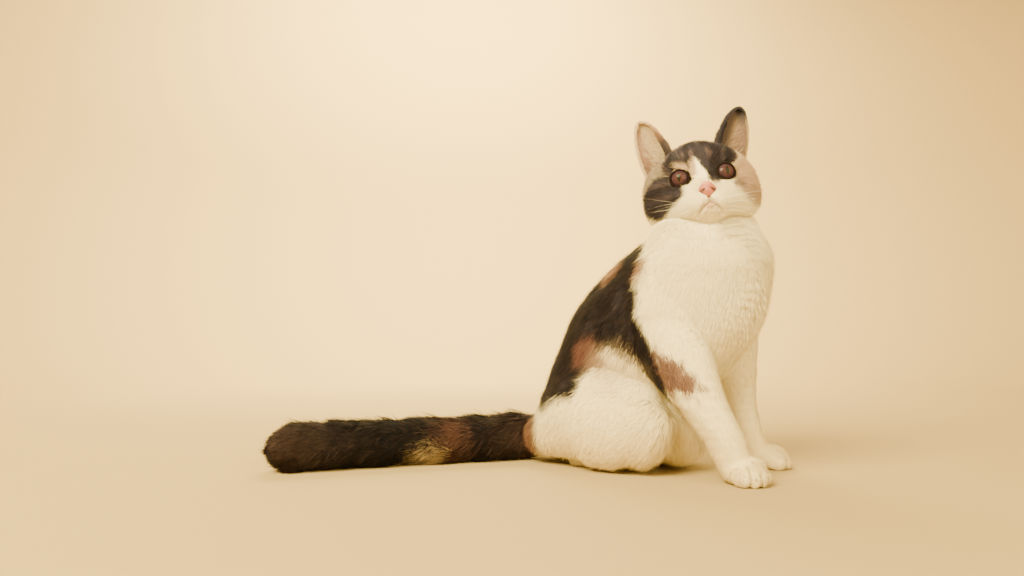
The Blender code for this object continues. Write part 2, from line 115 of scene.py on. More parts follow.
# The trunk's rings: x, the back's y and z, the breast's y and z, half width, turn.
TRUNK = (
    (0, 2, 40, -50, 18, 43, 0),
    (0, 1, 66, -84, 34, 56, 0),
    (0, -9, 95, -122, 46, 62, 0),
    (0, -23, 129, -168, 74, 65, 0),
    (0, -37, 160, -208, 108, 69, -3),
    (0, -58, 188, -237, 148, 71, -8),
    (-1, -86, 213, -248, 188, 70, -16),
    (-3, -119, 235, -246, 218, 64, -26),
    (-5, -140, 254, -230, 243, 59, -40),
    (-6, -148, 278, -212, 270, 48, -55),
)

# Each row of a limb: x, y, z of its path, half width across it and half depth.
BELLY = ((4, -140, 110, 46, 40), (6, -142, 70, 46, 38), (8, -146, 40, 42, 34))
FORELEG_RIGHT = (
    (-44, -150, 190, 24, 36),
    (-52, -156, 140, 26, 33),
    (-53, -172, 104, 24, 31),
    (-50, -190, 68, 20.5, 23),
    (-46, -209, 34, 18.2, 18.5),
    (-44, -215, 15, 17.5, 17),
)
FORELEG_LEFT = (
    (45, -166, 190, 30, 46),
    (47, -187, 140, 29, 38),
    (48, -196, 104, 24, 27),
    (50, -202, 68, 18, 19),
    (51, -209, 36, 16.5, 17),
    (53, -217, 15, 17, 16),
)
HAUNCH = (
    (27, -16, 33, 27, 26),
    (36, -48, 48, 31, 43),
    (48, -80, 57, 32, 54),
    (51, -116, 50, 28, 48),
    (49, -138, 41, 21, 34),
)
HIND_FOOT = ((31, -52, 13, 13, 13.6), (31, -88, 13, 13.5, 13.6), (31, -121, 12.5, 14, 13.2))
TAIL = (
    (0, -8, 32, 24, 24),
    (-16, 22, 26, 24.5, 25),
    (-54, 64, 24, 24.5, 24.6),
    (-101, 108, 24, 25, 24.6),
    (-153, 154, 24, 25, 24.6),
    (-199, 192, 23.5, 24, 24.2),
)
# Each fore paw: place, the way it points, and half width, length and height.
PAWS = {
    "right": ((-45.5, -221.5, 13), -38.0, (20, 24, 15)),
    "left": ((53, -224, 12), 6.0, (19, 25, 14)),
}
TOE_SPREADS = ((-0.66, 0.60), (-0.24, 0.80), (0.24, 0.80), (0.66, 0.60))
TOE_RADIUS = 8.4
TOE_HEIGHT = 8.8
# Toes of each foot: place of the foot, the way they point, half width, length and height.
TOED_FEET = (
    *PAWS.values(),
    ((31, -121, 12.5), 0.0, (14, 14, 13.2)),
    ((-31, -121, 12.5), 0.0, (14, 14, 13.2)),
)
TOE_PARTINGS = (-0.46, 0.0, 0.46)
TOE_GROOVE = 1.3

# The plane above which the flesh belongs to the head: a place on it and its normal.
NECK_CUT = ((-4, -178, 246), (-0.27, -0.09, 1.0))

FLESH_NODES = (
    "head", "neck", "torso_upper", "torso_lower", "foreleg_left", "foreleg_right", "paw_left",
    "paw_right", "thigh_left", "thigh_right", "tail_1", "tail_2", "tail_3", "tail_4",
)

# The skin: the cell of its remesh, its smoothing, the rounds that fill its creases, and the
# period and depth of the folds on the breast.
VOXEL = 2.2
SMOOTH_ROUNDS = 14
MELT_ROUNDS = 60
FOLD_PERIOD = 6.5
FOLD_DEPTH = 1.8

# The attribute that carries the colour of each point.
COLOUR_NAME = "coat"


def rotation(axis, degrees):
    """The 3 x 3 matrix of a turn about X, Y or Z."""
    return np.array(Matrix.Rotation(math.radians(degrees), 3, axis))


HEAD_AXES = rotation("Z", HEAD_TURN) @ rotation("X", -HEAD_RAISE) @ rotation("Y", HEAD_TILT)


def from_head(points):
    """Points of the head's own frame, in the cat's frame: centre + axes times point."""
    return np.asarray(points, float) @ HEAD_AXES.T + np.array(HEAD_CENTRE)


def to_head(points):
    """Points of the cat's frame, in the head's own frame."""
    return (np.asarray(points, float) - np.array(HEAD_CENTRE)) @ HEAD_AXES


def above_neck(points):
    """How far points lie above the plane between the neck and the head."""
    return (points - np.array(NECK_CUT[0])) @ unit(np.array(NECK_CUT[1], float))


def frame_shift():
    """What carries the cat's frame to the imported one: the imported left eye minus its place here."""
    low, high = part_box("eye_left")
    shift = (np.array(low) + np.array(high)) / 2 / MM - from_head(EYE_PLACE)
    return shift * (1, 1, 0)


SHIFT = frame_shift()


def placed(points):
    """Millimetres in the cat's frame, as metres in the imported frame."""
    return (np.asarray(points, float) + SHIFT) * MM


# Sizes and colours that a user would change


def colour_value(name, description, value):
    """A colour property with its default, in linear red, green and blue."""
    return FloatVectorProperty(
        name=name, description=description, default=value, subtype="COLOR", size=3, min=0, max=1
    )


class CoatSettings(bpy.types.PropertyGroup):
    """Sizes and colours of the coat."""

    tufts: IntProperty(
        name="Tufts", description="Tufts in a full piece of coat", default=92000, min=1000
    )
    length: FloatProperty(
        name="Length", description="Length of the hair against its normal length", default=1.0
    )
    width: FloatProperty(
        name="Width", description="Width of a tuft against its normal width", default=1.0
    )
    white: colour_value("White", "White hair", (0.86, 0.78, 0.54))
    cream: colour_value("Cream", "Cream hair", (0.29, 0.165, 0.115))
    ginger: colour_value("Ginger", "Ginger hair", (0.105, 0.050, 0.046))
    grey: colour_value("Grey", "Grey-brown hair of the head", (0.028, 0.0255, 0.040))
    dark: colour_value("Dark", "Dark brown hair of the back and tail", (0.0040, 0.0034, 0.0062))
    brown: colour_value("Brown", "Brown hairs among the dark ones", (0.026, 0.018, 0.020))


class FaceSettings(bpy.types.PropertyGroup):
    """Colours of the eyes, the nose and the bare skin."""

    iris: colour_value("Iris", "Copper of the iris", (0.038, 0.0205, 0.033))
    pupil: colour_value("Pupil", "Dark of the pupil", (0.008, 0.010, 0.007))
    lid: colour_value("Lid", "Dark rim of the lids", (0.008, 0.004, 0.004))
    nose: colour_value("Nose", "Pink of the nose leather", (0.34, 0.105, 0.080))
    skin: colour_value("Skin", "Pink skin inside the ears", (0.25, 0.15, 0.12))
    whiskers: IntProperty(name="Whiskers", description="Whiskers on each side", default=13, min=1)


class StageSettings(bpy.types.PropertyGroup):
    """The floor round the cat and the light."""

    floor: colour_value("Floor", "Pale floor", (0.38, 0.29, 0.135))
    radius: FloatProperty(
        name="Radius", description="Radius of the floor", default=1.8, unit="LENGTH"
    )
    light: FloatProperty(
        name="Light", description="Strength of the main light", default=258.0, unit="POWER"
    )


# Curves and surfaces


def smooth_rows(rows, per_span=7):
    """The rows with more between them, on a Catmull-Rom curve: in each span half of
    2b + (c - a)t + (2a - 5b + 4c - d)t squared + (3b - a - 3c + d)t cubed."""
    rows = np.asarray(rows, float)
    padded = np.vstack([2 * rows[0] - rows[1], rows, 2 * rows[-1] - rows[-2]])
    a, b, c, d = (padded[k : k + len(rows) - 1, None] for k in range(4))
    t = np.linspace(0, 1, per_span, endpoint=False)[None, :, None]
    bend = (2 * a - 5 * b + 4 * c - d) * t**2 + (3 * b - a - 3 * c + d) * t**3
    found = 0.5 * (2 * b + (c - a) * t + bend)
    return np.vstack([found.reshape(-1, rows.shape[1]), rows[-1]])


def unit(vectors):
    """The vectors at length one."""
    length = np.linalg.norm(vectors, axis=-1, keepdims=True)
    return vectors / np.maximum(length, 1e-9)


def domed(path, side, deep, reach, steps=6):
    """The rings with a half dome at each end: ring k at reach times sin, shrunk by cos, of k/steps
    of a right angle."""
    angle = (np.arange(1, steps + 1) / (steps + 0.35) * math.pi / 2)[:, None]
    ends = []
    for at, beyond in ((0, 1), (-1, -2)):
        out = unit(path[at] - path[beyond]) * reach[at]
        grown = (path[at] + out * np.sin(angle), side[at] * np.cos(angle), deep[at] * np.cos(angle))
        ends.append(grown)
    low, high = ends
    return [
        np.vstack([low[k][::-1], middle, high[k]]) for k, middle in enumerate((path, side, deep))
    ]


def limb_rings(rows, across=(1, 0, 0), inset=0.0):
    """Middles and half axes of the oval rings along a path, less the inset. The width lies along
    across, made square to the path."""
    rings = smooth_rows(rows)
    path = rings[:, :3]
    along = unit(np.gradient(path, axis=0))
    across = np.asarray(across, float)
    side = unit(across - (along @ across)[:, None] * along)
    deep = np.cross(along, side)
    wide, high = rings[:, 3:4] - inset, rings[:, 4:5] - inset
    return domed(path, side * wide, deep * high, np.minimum(wide, high)[:, 0])


def trunk_rings(inset=0.0):
    """Middles and half axes of the trunk's rings, each between a place on the back and one on the
    breast, less the inset."""
    x, back_y, back_z, front_y, front_z, width, turn = smooth_rows(TRUNK).T
    turn = np.radians(turn)
    path = np.stack([x, (back_y + front_y) / 2, (back_z + front_z) / 2], 1)
    depth, rise = (back_y - front_y) / 2, (back_z - front_z) / 2
    side = np.stack([np.cos(turn), np.sin(turn), 0 * turn], 1) * (width - inset)[:, None]
    deep = np.stack([-np.sin(turn) * depth, np.cos(turn) * depth, rise], 1)
    long = np.linalg.norm(deep, axis=1, keepdims=True)
    return domed(path, side, deep * (long - inset) / long, 0.55 * (width - inset))


def ring_surface(rings, sides=64):
    """Points of a closed tube: middle + cos times one half axis + sin times the other."""
    path, side, deep = rings
    angle = np.linspace(0, 2 * math.pi, sides, endpoint=False)[None, :, None]
    return path[:, None] + np.cos(angle) * side[:, None] + np.sin(angle) * deep[:, None]


def grid_faces(rows, columns, wrap=False):
    """Four-sided faces of a grid of points listed row by row."""
    i = np.arange(rows - 1)[:, None]
    j = np.arange(columns if wrap else columns - 1)[None, :]
    k = (j + 1) % columns
    return np.stack(
        [i * columns + j, i * columns + k, (i + 1) * columns + k, (i + 1) * columns + j], -1
    ).reshape(-1, 4)


def closed_tube(grid):
    """A grid of rings as points and faces, with a fan to a middle point at each end."""
    rows, columns = grid.shape[:2]
    points = np.vstack([grid.reshape(-1, 3), grid[0].mean(0), grid[-1].mean(0)])
    around = np.arange(columns)
    after = (around + 1) % columns
    low, high = rows * columns, rows * columns + 1
    start = np.stack([np.full(columns, low), after, around], 1)
    last = (rows - 1) * columns
    end = np.stack([np.full(columns, high), last + around, last + after], 1)
    return points, [*grid_faces(rows, columns, True).tolist(), *start.tolist(), *end.tolist()]


def ball_grid(place, halves, turn=0.0, rows=24, columns=36):
    """A closed oval ball: place + halves times (cos u sin v, sin u sin v, cos v), turned."""
    v = np.linspace(0.04, math.pi - 0.04, rows)[:, None]
    u = np.linspace(0, 2 * math.pi, columns, endpoint=False)[None, :]
    grid = np.stack([np.cos(u) * np.sin(v), np.sin(u) * np.sin(v), np.cos(v) + 0 * u], -1)
    return (grid * halves) @ rotation("Z", turn).T + place


def mesh_object(name, points, faces):
    """A mesh object from points in millimetres of the cat's frame."""
    mesh = bpy.data.meshes.new(name)
    faces = faces.tolist() if isinstance(faces, np.ndarray) else faces
    mesh.from_pydata(placed(points).tolist(), [], faces)
    mesh.update()
    mesh.shade_smooth()
    made = bpy.data.objects.new(name, mesh)
    bpy.context.scene.collection.objects.link(made)
    return made


def baked(obj):
    """Applies the object's modifiers."""
    graph = bpy.context.evaluated_depsgraph_get()
    mesh = bpy.data.meshes.new_from_object(obj.evaluated_get(graph))
    obj.modifiers.clear()
    obj.data = mesh
    return obj


def points_of(mesh):
    """The mesh's points in millimetres of the cat's frame."""
    points = np.zeros(len(mesh.vertices) * 3)
    mesh.vertices.foreach_get("co", points)
    return points.reshape(-1, 3) / MM - SHIFT


def normals_of(mesh):
    """The normals at the mesh's points."""
    normals = np.zeros(len(mesh.vertices) * 3, np.float32)
    mesh.vertex_normals.foreach_get("vector", normals)
    return normals.reshape(-1, 3).astype(float)


def set_points(mesh, points):
    """Moves the mesh's points to places in millimetres of the cat's frame."""
    mesh.vertices.foreach_set("co", placed(points).astype(np.float32).ravel())
    mesh.update()


def paint(mesh, colours):
    """Stores a colour for each point as the attribute that the materials read."""
    layer = mesh.attributes.new(COLOUR_NAME, "FLOAT_COLOR", "POINT")
    full = np.ones((len(colours), 4), np.float32)
    full[:, :3] = colours
    layer.data.foreach_set("color", full.ravel())


def two_sided(front, rear):
    """Points and faces of a thin body: two grids of the same size, joined round their border."""
    rows, columns = front.shape[:2]
    count = rows * columns
    faces = grid_faces(rows, columns)
    index = np.arange(count).reshape(rows, columns)
    border = np.concatenate([index[0], index[1:, -1], index[-1, -2::-1], index[-2:0:-1, 0]])
    after = np.roll(border, -1)
    rim = np.stack([border, border + count, after + count, after], 1)
    points = np.vstack([front.reshape(-1, 3), rear.reshape(-1, 3)])
    return points, np.vstack([faces, rim, faces[:, ::-1] + count])


# Noise and masks


def lattice_value(cells, seed):
    """A fixed random value from 0 to 1 for each whole cell, by mixing its numbers."""
    x, y, z = (cells[..., k].astype(np.int64) for k in range(3))
    mixed = (x * 73856093) ^ (y * 19349663) ^ (z * 83492791) ^ (seed * 2654435761)
    mixed = (mixed ^ (mixed >> 13)) * 1274126177
    return ((mixed ^ (mixed >> 16)) & 0xFFFFFF) / float(0xFFFFFF)


def noise(points, size, seed=0):
    """Smooth noise from -1 to 1: the values at a cell's eight corners, mixed by distance."""
    scaled = np.asarray(points, float) / size
    cells = np.floor(scaled)
    part = scaled - cells
    part = part * part * (3 - 2 * part)
    total = np.zeros(len(scaled))
    for corner in np.ndindex(2, 2, 2):
        step = np.array(corner)
        weight = np.prod(np.where(step == 1, part, 1 - part), axis=1)
        total += weight * lattice_value(cells + step, seed)
    return 2 * total - 1


def ramp(value, low, high):
    """From 0 at low to 1 at high, smoothly."""
    t = np.clip((value - low) / (high - low), 0, 1)
    return t * t * (3 - 2 * t)


def inside(u, v, outline, soft):
    """From 0 outside a closed outline to 1 within it, soft across its edge: the nearest distance
    to any side, signed by the crossings of a ray."""
    corners = np.asarray(outline, float)
    nearest = np.full(len(u), 1e9)
    odd = np.zeros(len(u), bool)
    for (ax, ay), (bx, by) in zip(corners, np.roll(corners, -1, axis=0)):
        dx, dy = bx - ax, by - ay
        t = np.clip(((u - ax) * dx + (v - ay) * dy) / (dx * dx + dy * dy), 0, 1)
        nearest = np.minimum(nearest, np.hypot(u - ax - t * dx, v - ay - t * dy))
        crosses = (ay > v) != (by > v)
        slope = dx / (dy if dy else 1e-9)
        odd ^= crosses & (u < ax + (v - ay) * slope)
    return ramp(np.where(odd, nearest, -nearest), -soft, soft)


# The head's shape


def lon_lat(points):
    """Longitude and latitude, in degrees, of points of the head's own frame."""
    x, y, z = points.T
    return np.degrees(np.arctan2(x, -y)), np.degrees(np.arctan2(z, np.hypot(x, y)))


def soft_hill(lon, lat, middle_lon, middle_lat, spread_lon, spread_lat):
    """A hill of height 1: e to minus half the squared distance in spreads. Degrees."""
    away = (lon - middle_lon + 180) % 360 - 180
    away = away * np.cos(np.radians(0.5 * (lat + middle_lat)))
    return np.exp(-0.5 * ((away / spread_lon) ** 2 + ((lat - middle_lat) / spread_lat) ** 2))


def coat_depth_on_head(lon, lat):
    """How deep the coat of the head is: thin on the muzzle and bridge, deep on the cheeks."""
    muzzle = soft_hill(lon, lat, 0, -25, 24, 24)
    brow = soft_hill(lon, lat, 0, 25, 50, 25)
    jowl = soft_hill(np.abs(lon), lat, 72, -32, 30, 22)
    return 3.7 - 2.4 * muzzle - 0.3 * brow + 1.6 * jowl + 1.2 * ramp(-lat, 44, 58)


def head_radius(lon, lat):
    """The outline's distance from the head's middle: the skull's oval plus every form."""
    lon_r, lat_r = np.radians(lon), np.radians(lat)
    flat = np.cos(lat_r)
    x, y, z = np.sin(lon_r) * flat, -np.cos(lon_r) * flat, np.sin(lat_r)
    radius = 1 / np.sqrt((x / SKULL[0]) ** 2 + (y / SKULL[1]) ** 2 + (z / SKULL[2]) ** 2)
    for form_lon, form_lat, height, spread_lon, spread_lat in HEAD_FORMS.values():
        for side in (1, -1) if 0 < form_lon < 180 else (1,):
            hill = soft_hill(lon, lat, side * form_lon, form_lat, spread_lon, spread_lat)
            radius = radius + height * hill
    return radius


def mouth_distance(lon, lat):
    """The distance in degrees from the line of the mouth, the same on both sides."""
    nearest = np.full(np.shape(lon), 1e9)
    lon = np.abs(lon)
    for (a_lon, a_lat), (b_lon, b_lat) in zip(MOUTH_LINE, MOUTH_LINE[1:]):
        dx, dy = b_lon - a_lon, b_lat - a_lat
        t = np.clip(((lon - a_lon) * dx + (lat - a_lat) * dy) / (dx * dx + dy * dy), 0, 1)
        nearest = np.minimum(nearest, np.hypot(lon - a_lon - t * dx, lat - a_lat - t * dy))
    return nearest


def flesh_radius(lon, lat):
    """The skin's distance from the head's middle: the outline less the coat, with the groove of
    the mouth, the fold over each whisker pad and the crease under the brow."""
    radius = head_radius(lon, lat) - coat_depth_on_head(lon, lat)
    radius = radius - 2.4 * np.exp(-((mouth_distance(lon, lat) / 1.2) ** 2))
    radius = radius + 1.8 * soft_hill(np.abs(lon), lat, 9, -30.5, 5.5, 3.4)
    radius = radius + 2.2 * soft_hill(lon, lat, 0, -40, 6.5, 3.2)
    radius = radius - 1.4 * soft_hill(lon, lat, 0, -49, 12, 3.0)
    radius = radius - 1.6 * soft_hill(np.abs(lon), lat, 14, -14, 3.5, 7)
    return radius - 1.6 * ramp(nose_share(lon, lat), 0.0, 0.3)


def on_head(lon, lat, radius):
    """Points of the head's own frame at longitudes, latitudes and distances."""
    lon, lat = np.radians(lon), np.radians(lat)
    flat = np.cos(lat) * radius
    return np.stack([np.sin(lon) * flat, -np.cos(lon) * flat, np.sin(lat) * radius], -1)


def head_surface():
    """The plain head as a closed grid of rings from chin to crown."""
    lon, lat = np.meshgrid(
        np.linspace(-180, 180, 128, endpoint=False), np.linspace(-88.5, 88.5, 90)
    )
    return from_head(on_head(lon, lat, head_radius(lon, lat) - coat_depth_on_head(lon, lat)))


def eye_axes(side):
    """The axes and middle of an eye, which looks along its own -Y, in the head's frame."""
    place = np.array(EYE_PLACE) * (side, 1, 1)
    return rotation("Z", side * EYE_TURN), place


def to_eye(head_points, side):
    """Points of the head's frame, in an eye's own frame."""
    axes, place = eye_axes(side)
    return (head_points - place) @ axes


def from_eye(points, side):
    """Points of an eye's own frame, in the cat's frame."""
    axes, place = eye_axes(side)
    return from_head(points @ axes.T + place)


def tear_duct(angle):
    """How much further the opening reaches at an angle from the inner corner: a hill e to minus
    the square."""
    reach, below, spread = TEAR_DUCT
    return reach * np.exp(-(((angle + below) / spread) ** 2))


def lid_reach(points, side):
    """How far out points of an eye's frame lie from its middle line, where the edge of the lids
    is 1: the oval of the opening, drawn out to the tear duct at the inner corner."""
    x, z = points[..., 0] / LID_OPENING[0], points[..., 2] / LID_OPENING[1]
    return np.hypot(x, z) / (1 + tear_duct(np.arctan2(z, -side * x)))


# Skin


def flesh_forms():
    """Every form of the flesh as closed grids of points, smaller than the coat by its depth."""
    mirror = np.array([-1, 1, 1, 1, 1])
    grids = [ring_surface(trunk_rings(6.0), 96)]
    grids.append(ring_surface(limb_rings(BELLY, inset=6.0)))
    grids.append(ring_surface(limb_rings(TAIL, across=(0.7, 0.7, 0), inset=8.0)))
    for mirrored in (np.ones(5), mirror):
        grids.append(ring_surface(limb_rings(HAUNCH * mirrored, inset=5.5)))
        grids.append(ring_surface(limb_rings(HIND_FOOT * mirrored, inset=2.5)))
    for rows in (FORELEG_RIGHT, FORELEG_LEFT):
        grids.append(ring_surface(limb_rings(rows, inset=2.8)))
    for place, turn, halves in PAWS.values():
        halves = np.array(halves, float) - 1.8
        grids.append(ball_grid(place, halves, turn))
        radii = np.array([0.8, 1.1, 1.1]) * TOE_RADIUS - 1.2
        for spread, forward in TOE_SPREADS:
            step = rotation("Z", turn) @ np.array([spread * halves[0], -forward * halves[1], 0])
            toe = (place[0] + step[0], place[1] + step[1], TOE_HEIGHT)
            grids.append(ball_grid(toe, radii, turn))
    grids.append(head_surface())
    return grids


def faces_by_place(form, test):
    """The faces of an open bmesh whose middles pass a test on an array of places."""
    faces = list(form.faces)
    middles = np.array([face.calc_center_median() for face in faces]) / MM - SHIFT
    return [face for face, chosen in zip(faces, test(middles)) if chosen]


def refine_face(obj):
    """Splits the skin's faces round the eyes, nose and mouth, once and then once more."""
    for reach in (52.0, 40.0):
        form = bmesh.new()
        form.from_mesh(obj.data)
        middle = from_head((0, -52, -14))
        near = faces_by_place(form, lambda p: np.linalg.norm(p - middle, axis=1) < reach)
        edges = list({edge for face in near for edge in face.edges})
        bmesh.ops.subdivide_edges(form, edges=edges, cuts=1, use_grid_fill=True)
        bmesh.ops.triangulate(form, faces=[f for f in form.faces if len(f.verts) > 4])
        form.to_mesh(obj.data)
        form.free()


def shaped_head(points):
    """Moves the head's points to the exact flesh: their distance from its middle becomes
    flesh_radius, fading out towards the neck. Round each eye they keep outside the lid's ball,
    and in the opening they lie within the eye."""
    local = to_head(points)
    lon, lat = lon_lat(local)
    now = np.linalg.norm(local, axis=1)
    face = ramp(-local[:, 1], -5, 18) * ramp(local[:, 2], -48, -36)
    close = ramp(-np.abs(now - flesh_radius(lon, lat)), -9, -5)
    wanted = now + (flesh_radius(lon, lat) - now) * face * close
    local = local * (wanted / now)[:, None]
    for side in (1, -1):
        eye = to_eye(local, side)
        far = np.linalg.norm(eye, axis=1)
        out = lid_reach(eye, side)
        front = eye[:, 1] < 0
        lid = (EYE_RADIUS + 1.0) * ramp(-out, -1.75, -1.2)
        kept = np.where(front & (far < lid), lid, far)
        kept = np.where(front & (out < 1.04), EYE_RADIUS - 2.2, kept)
        near = front & (far < EYE_RADIUS + 9)
        eye = np.where(near[:, None], eye * (kept / np.maximum(far, 1e-6))[:, None], eye)
        axes, place = eye_axes(side)
        local = eye @ axes.T + place
    return from_head(local)


def body_folds(points):
    """How far the skin of the neck and the breast rises in its soft folds: narrow grooves
    across the height, strongest in front and bent by noise."""
    x, y, z = points.T
    front = ramp(-y, 150, 205) * ramp(z, 120, 150) * ramp(-z, -262, -240)
    bend = 6.0 * noise(points, 40.0, 3) + 0.06 * np.abs(x + 30)
    waves = (0.5 + 0.5 * np.sin((z + bend) * 2 * math.pi / FOLD_PERIOD)) ** 3
    waves = waves * ramp(noise(points, 34.0, 5), -0.3, 0.5)
    rings = np.sin((z + 3 * noise(points, 30.0, 4)) * 2 * math.pi / 9.0)
    legs = ramp(-z, -112, -95) * ramp(z, 30, 45) * ramp(-y, 135, 165)
    return 0.07 * legs * rings - FOLD_DEPTH * front * waves


def melted(mesh, points):
    """Points of the skin where a haunch meets the trunk, and the head the neck, drawn again and
    again to the middle of their neighbours, so that the creases between them fill."""
    paths = growth_paths()
    near = {}
    for name in ("trunk", "haunch_left", "haunch_right"):
        near[name] = reach_from(*paths[name], points)[1]
    haunch = np.minimum(near["haunch_left"], near["haunch_right"])
    share = ramp(-np.abs(haunch - near["trunk"]), -0.35, -0.05) * ramp(points[:, 2], 26, 44)
    share = share * ramp(-points[:, 1], -20, 30)
    neck = np.abs(above_neck(points) + 2)
    share = np.maximum(share, ramp(-neck, -17, -8))[:, None]
    edges = np.zeros(len(mesh.edges) * 2, np.int32)
    mesh.edges.foreach_get("vertices", edges)
    a, b = edges.reshape(-1, 2).T
    count = (np.bincount(a, minlength=len(points)) + np.bincount(b, minlength=len(points)))[:, None]
    for _ in range(MELT_ROUNDS):
        total = np.zeros_like(points)
        for k in range(3):
            total[:, k] = np.bincount(a, points[b, k], len(points)) + np.bincount(
                b, points[a, k], len(points)
            )
        points = points + (total / np.maximum(count, 1) - points) * share
    return points


def toe_parting(points):
    """From 0 to 1, how near each point lies to a parting between two toes: e to minus the square
    of its distance to the side over 0.9 mm, in the lower front of each foot."""
    share = np.zeros(len(points))
    for place, turn, halves in TOED_FEET:
        x, y, z = ((points - np.array(place)) @ rotation("Z", turn)).T
        front = ramp(-y, 0.3 * halves[1], 0.75 * halves[1]) * ramp(-z, -0.35 * halves[2], 0)
        front = front * (np.abs(x) < halves[0]) * (-y < halves[1] + 8)
        for middle in TOE_PARTINGS:
            near = np.exp(-(((x - middle * halves[0]) / 0.9) ** 2))
            share = np.maximum(share, near * front)
    return share


def build_skin():
    """Fuses the forms into one closed skin, smooths it and shapes the head."""
    form = bmesh.new()
    for grid in flesh_forms():
        points, faces = closed_tube(grid)
        mesh = bpy.data.meshes.new("form")
        mesh.from_pydata(placed(points).tolist(), [], faces)
        form.from_mesh(mesh)
        bpy.data.meshes.remove(mesh)
    bmesh.ops.recalc_face_normals(form, faces=form.faces)
    skin = mesh_object("skin", np.zeros((0, 3)), [])
    form.to_mesh(skin.data)
    form.free()
    clay = skin.modifiers.new("clay", "REMESH")
    clay.mode = "VOXEL"
    clay.voxel_size = VOXEL * MM
    soften = skin.modifiers.new("soften", "SMOOTH")
    soften.factor = 0.5
    soften.iterations = SMOOTH_ROUNDS
    baked(skin)
    refine_face(skin)
    points = melted(skin.data, shaped_head(points_of(skin.data)))
    set_points(skin.data, points)
    rise = body_folds(points) - TOE_GROOVE * toe_parting(points)
    points = points + normals_of(skin.data) * rise[:, None]
    points[:, 2] = np.maximum(points[:, 2], 0.5)
    set_points(skin.data, points)
    skin.data.shade_smooth()
    paint(skin.data, skin_colour(points))
    return skin


# Markings

CROWN_EDGE = (
    (-180, -34), (-130, -28), (-108, -8), (-90, 22), (-60, 32), (-44, 21), (-33, 15), (-24, 14),
    (-18, 11), (-13, 15), (-7, 18), (-4, 14), (-2, 7), (1, -2), (4, -10), (10, -16), (17, -19),
    (24, -14), (34, -12), (42, -14), (44, -3), (46, 5), (51, 16), (58, 28), (80, 32), (96, 4),
    (112, -22), (180, -34),
)
CHEEK_PATCH = (
    (-30, 27), (-38, 12), (-34, 4), (-30, -7), (-27, -18), (-28, -25), (-33, -31), (-46, -35),
    (-58, -39), (-72, -37), (-86, -28), (-84, -12), (-66, 0), (-53, 8), (-50, 20), (-46, 36),
    (-33, 38),
)
BROW_LOBE = ((-42, 6), (-38, 17), (-30, 20), (-20, 19), (-12, 16), (-12, 2), (-28, 3))
BLAZE_LOBE = ((-16, 16), (-10, 18), (-7, 8), (-9, -4), (-15, -6), (-20, -3), (-19, 5), (-15, 8))
BROW_STREAK = ((-21, 18), (-16, 18), (-16, 8), (-18, 3), (-19, 8))
SIDE_CREAM_LEFT = (
    (43, 6), (54, 20), (80, 24), (96, -4), (88, -34), (64, -38), (50, -33), (38, -25), (42, -12),
)
SIDE_CREAM_RIGHT = ((-46, 26), (-52, 6), (-68, -3), (-86, -16), (-112, -20), (-112, 14), (-70, 38))
DUCT_SPOTS = ((13, -17, 2.4), (43, -15, 4.4), (48, -20, 3.4), (41, -22, 2.0))

# Edges on the body, as places y and z.
BREAST_EDGE = (
    (60, -160), (71, -162), (95, -159), (118, -152), (134, -143), (157, -131), (181, -132),
    (201, -131), (220, -131), (232, -120), (250, -114), (280, -118),
)
THIGH_EDGE = (
    (-170, 60), (-150, 77), (-139, 92), (-125, 108), (-110, 118), (-95, 124), (-86, 118), (-80, 98),
    (-74, 87), (-63, 75), (-34, 64), (-10, 50), (20, 34),
)
HAUNCH_GINGER = ((-80, 136), (-60, 120), (-53, 106), (-70, 98), (-88, 96), (-101, 101), (-92, 117))
HAUNCH_CREAM = ((-84, 120), (-108, 122), (-134, 103), (-138, 92), (-114, 84), (-96, 82), (-78, 92))
ELBOW_PATCH = (
    (-150, 120), (-156, 124), (-159, 115), (-166, 119), (-168, 110), (-177, 111), (-177, 102),
    (-187, 101), (-185, 93), (-195, 88), (-185, 84), (-183, 76), (-176, 80), (-170, 72), (-165, 79),
    (-160, 82), (-154, 98),
)
BACK_SPOT = ((-80, 188), (-82, 198), (-96, 209), (-104, 208), (-102, 198), (-90, 187))
SHOULDER_SPOT = ((-126, 190), (-127, 206), (-134, 212), (-138, 200), (-134, 188))
RUMP_SPOT = ((-14, 16), (-10, 42), (2, 46), (10, 38), (10, 14), (-2, 6))

# Colours along the tail: distance from its root, and the share of dark, brown, ginger and cream.
TAIL_BANDS = (
    (0, 0, 0.8, 0.2, 0), (60, 0.4, 0.55, 0.05, 0), (84, 0.7, 0.3, 0, 0), (102, 1, 0, 0, 0),
    (112, 0.3, 0.4, 0.3, 0), (120, 0.3, 0.3, 0.4, 0), (136, 0.3, 0.35, 0.35, 0),
    (146, 0.6, 0.3, 0.1, 0), (155, 1, 0, 0, 0), (200, 1, 0, 0, 0), (214, 0.7, 0.3, 0, 0),
    (226, 1, 0, 0, 0), (240, 0.6, 0.4, 0, 0), (250, 0.9, 0.1, 0, 0), (264, 0.4, 0.6, 0, 0),
    (320, 0.3, 0.6, 0.1, 0),
)


def palette():
    """The coat's colours as arrays."""
    coat = bpy.context.scene.cat_coat
    names = ("white", "cream", "ginger", "grey", "dark", "brown")
    return {name: np.array(getattr(coat, name)) for name in names}


def mixed(base, colour, share):
    """The base with a share of a colour over it, from 0 to 1 for each point."""
    return base + (colour - base) * np.asarray(share)[..., None]


def nearest_on(path, points):
    """The index of the nearest place of a path to each point."""
    found = np.empty(len(points), int)
    for start in range(0, len(points), 50000):
        part = points[start : start + 50000]
        away = ((part[:, None] - path[None]) ** 2).sum(-1)
        found[start : start + 50000] = away.argmin(1)
    return found


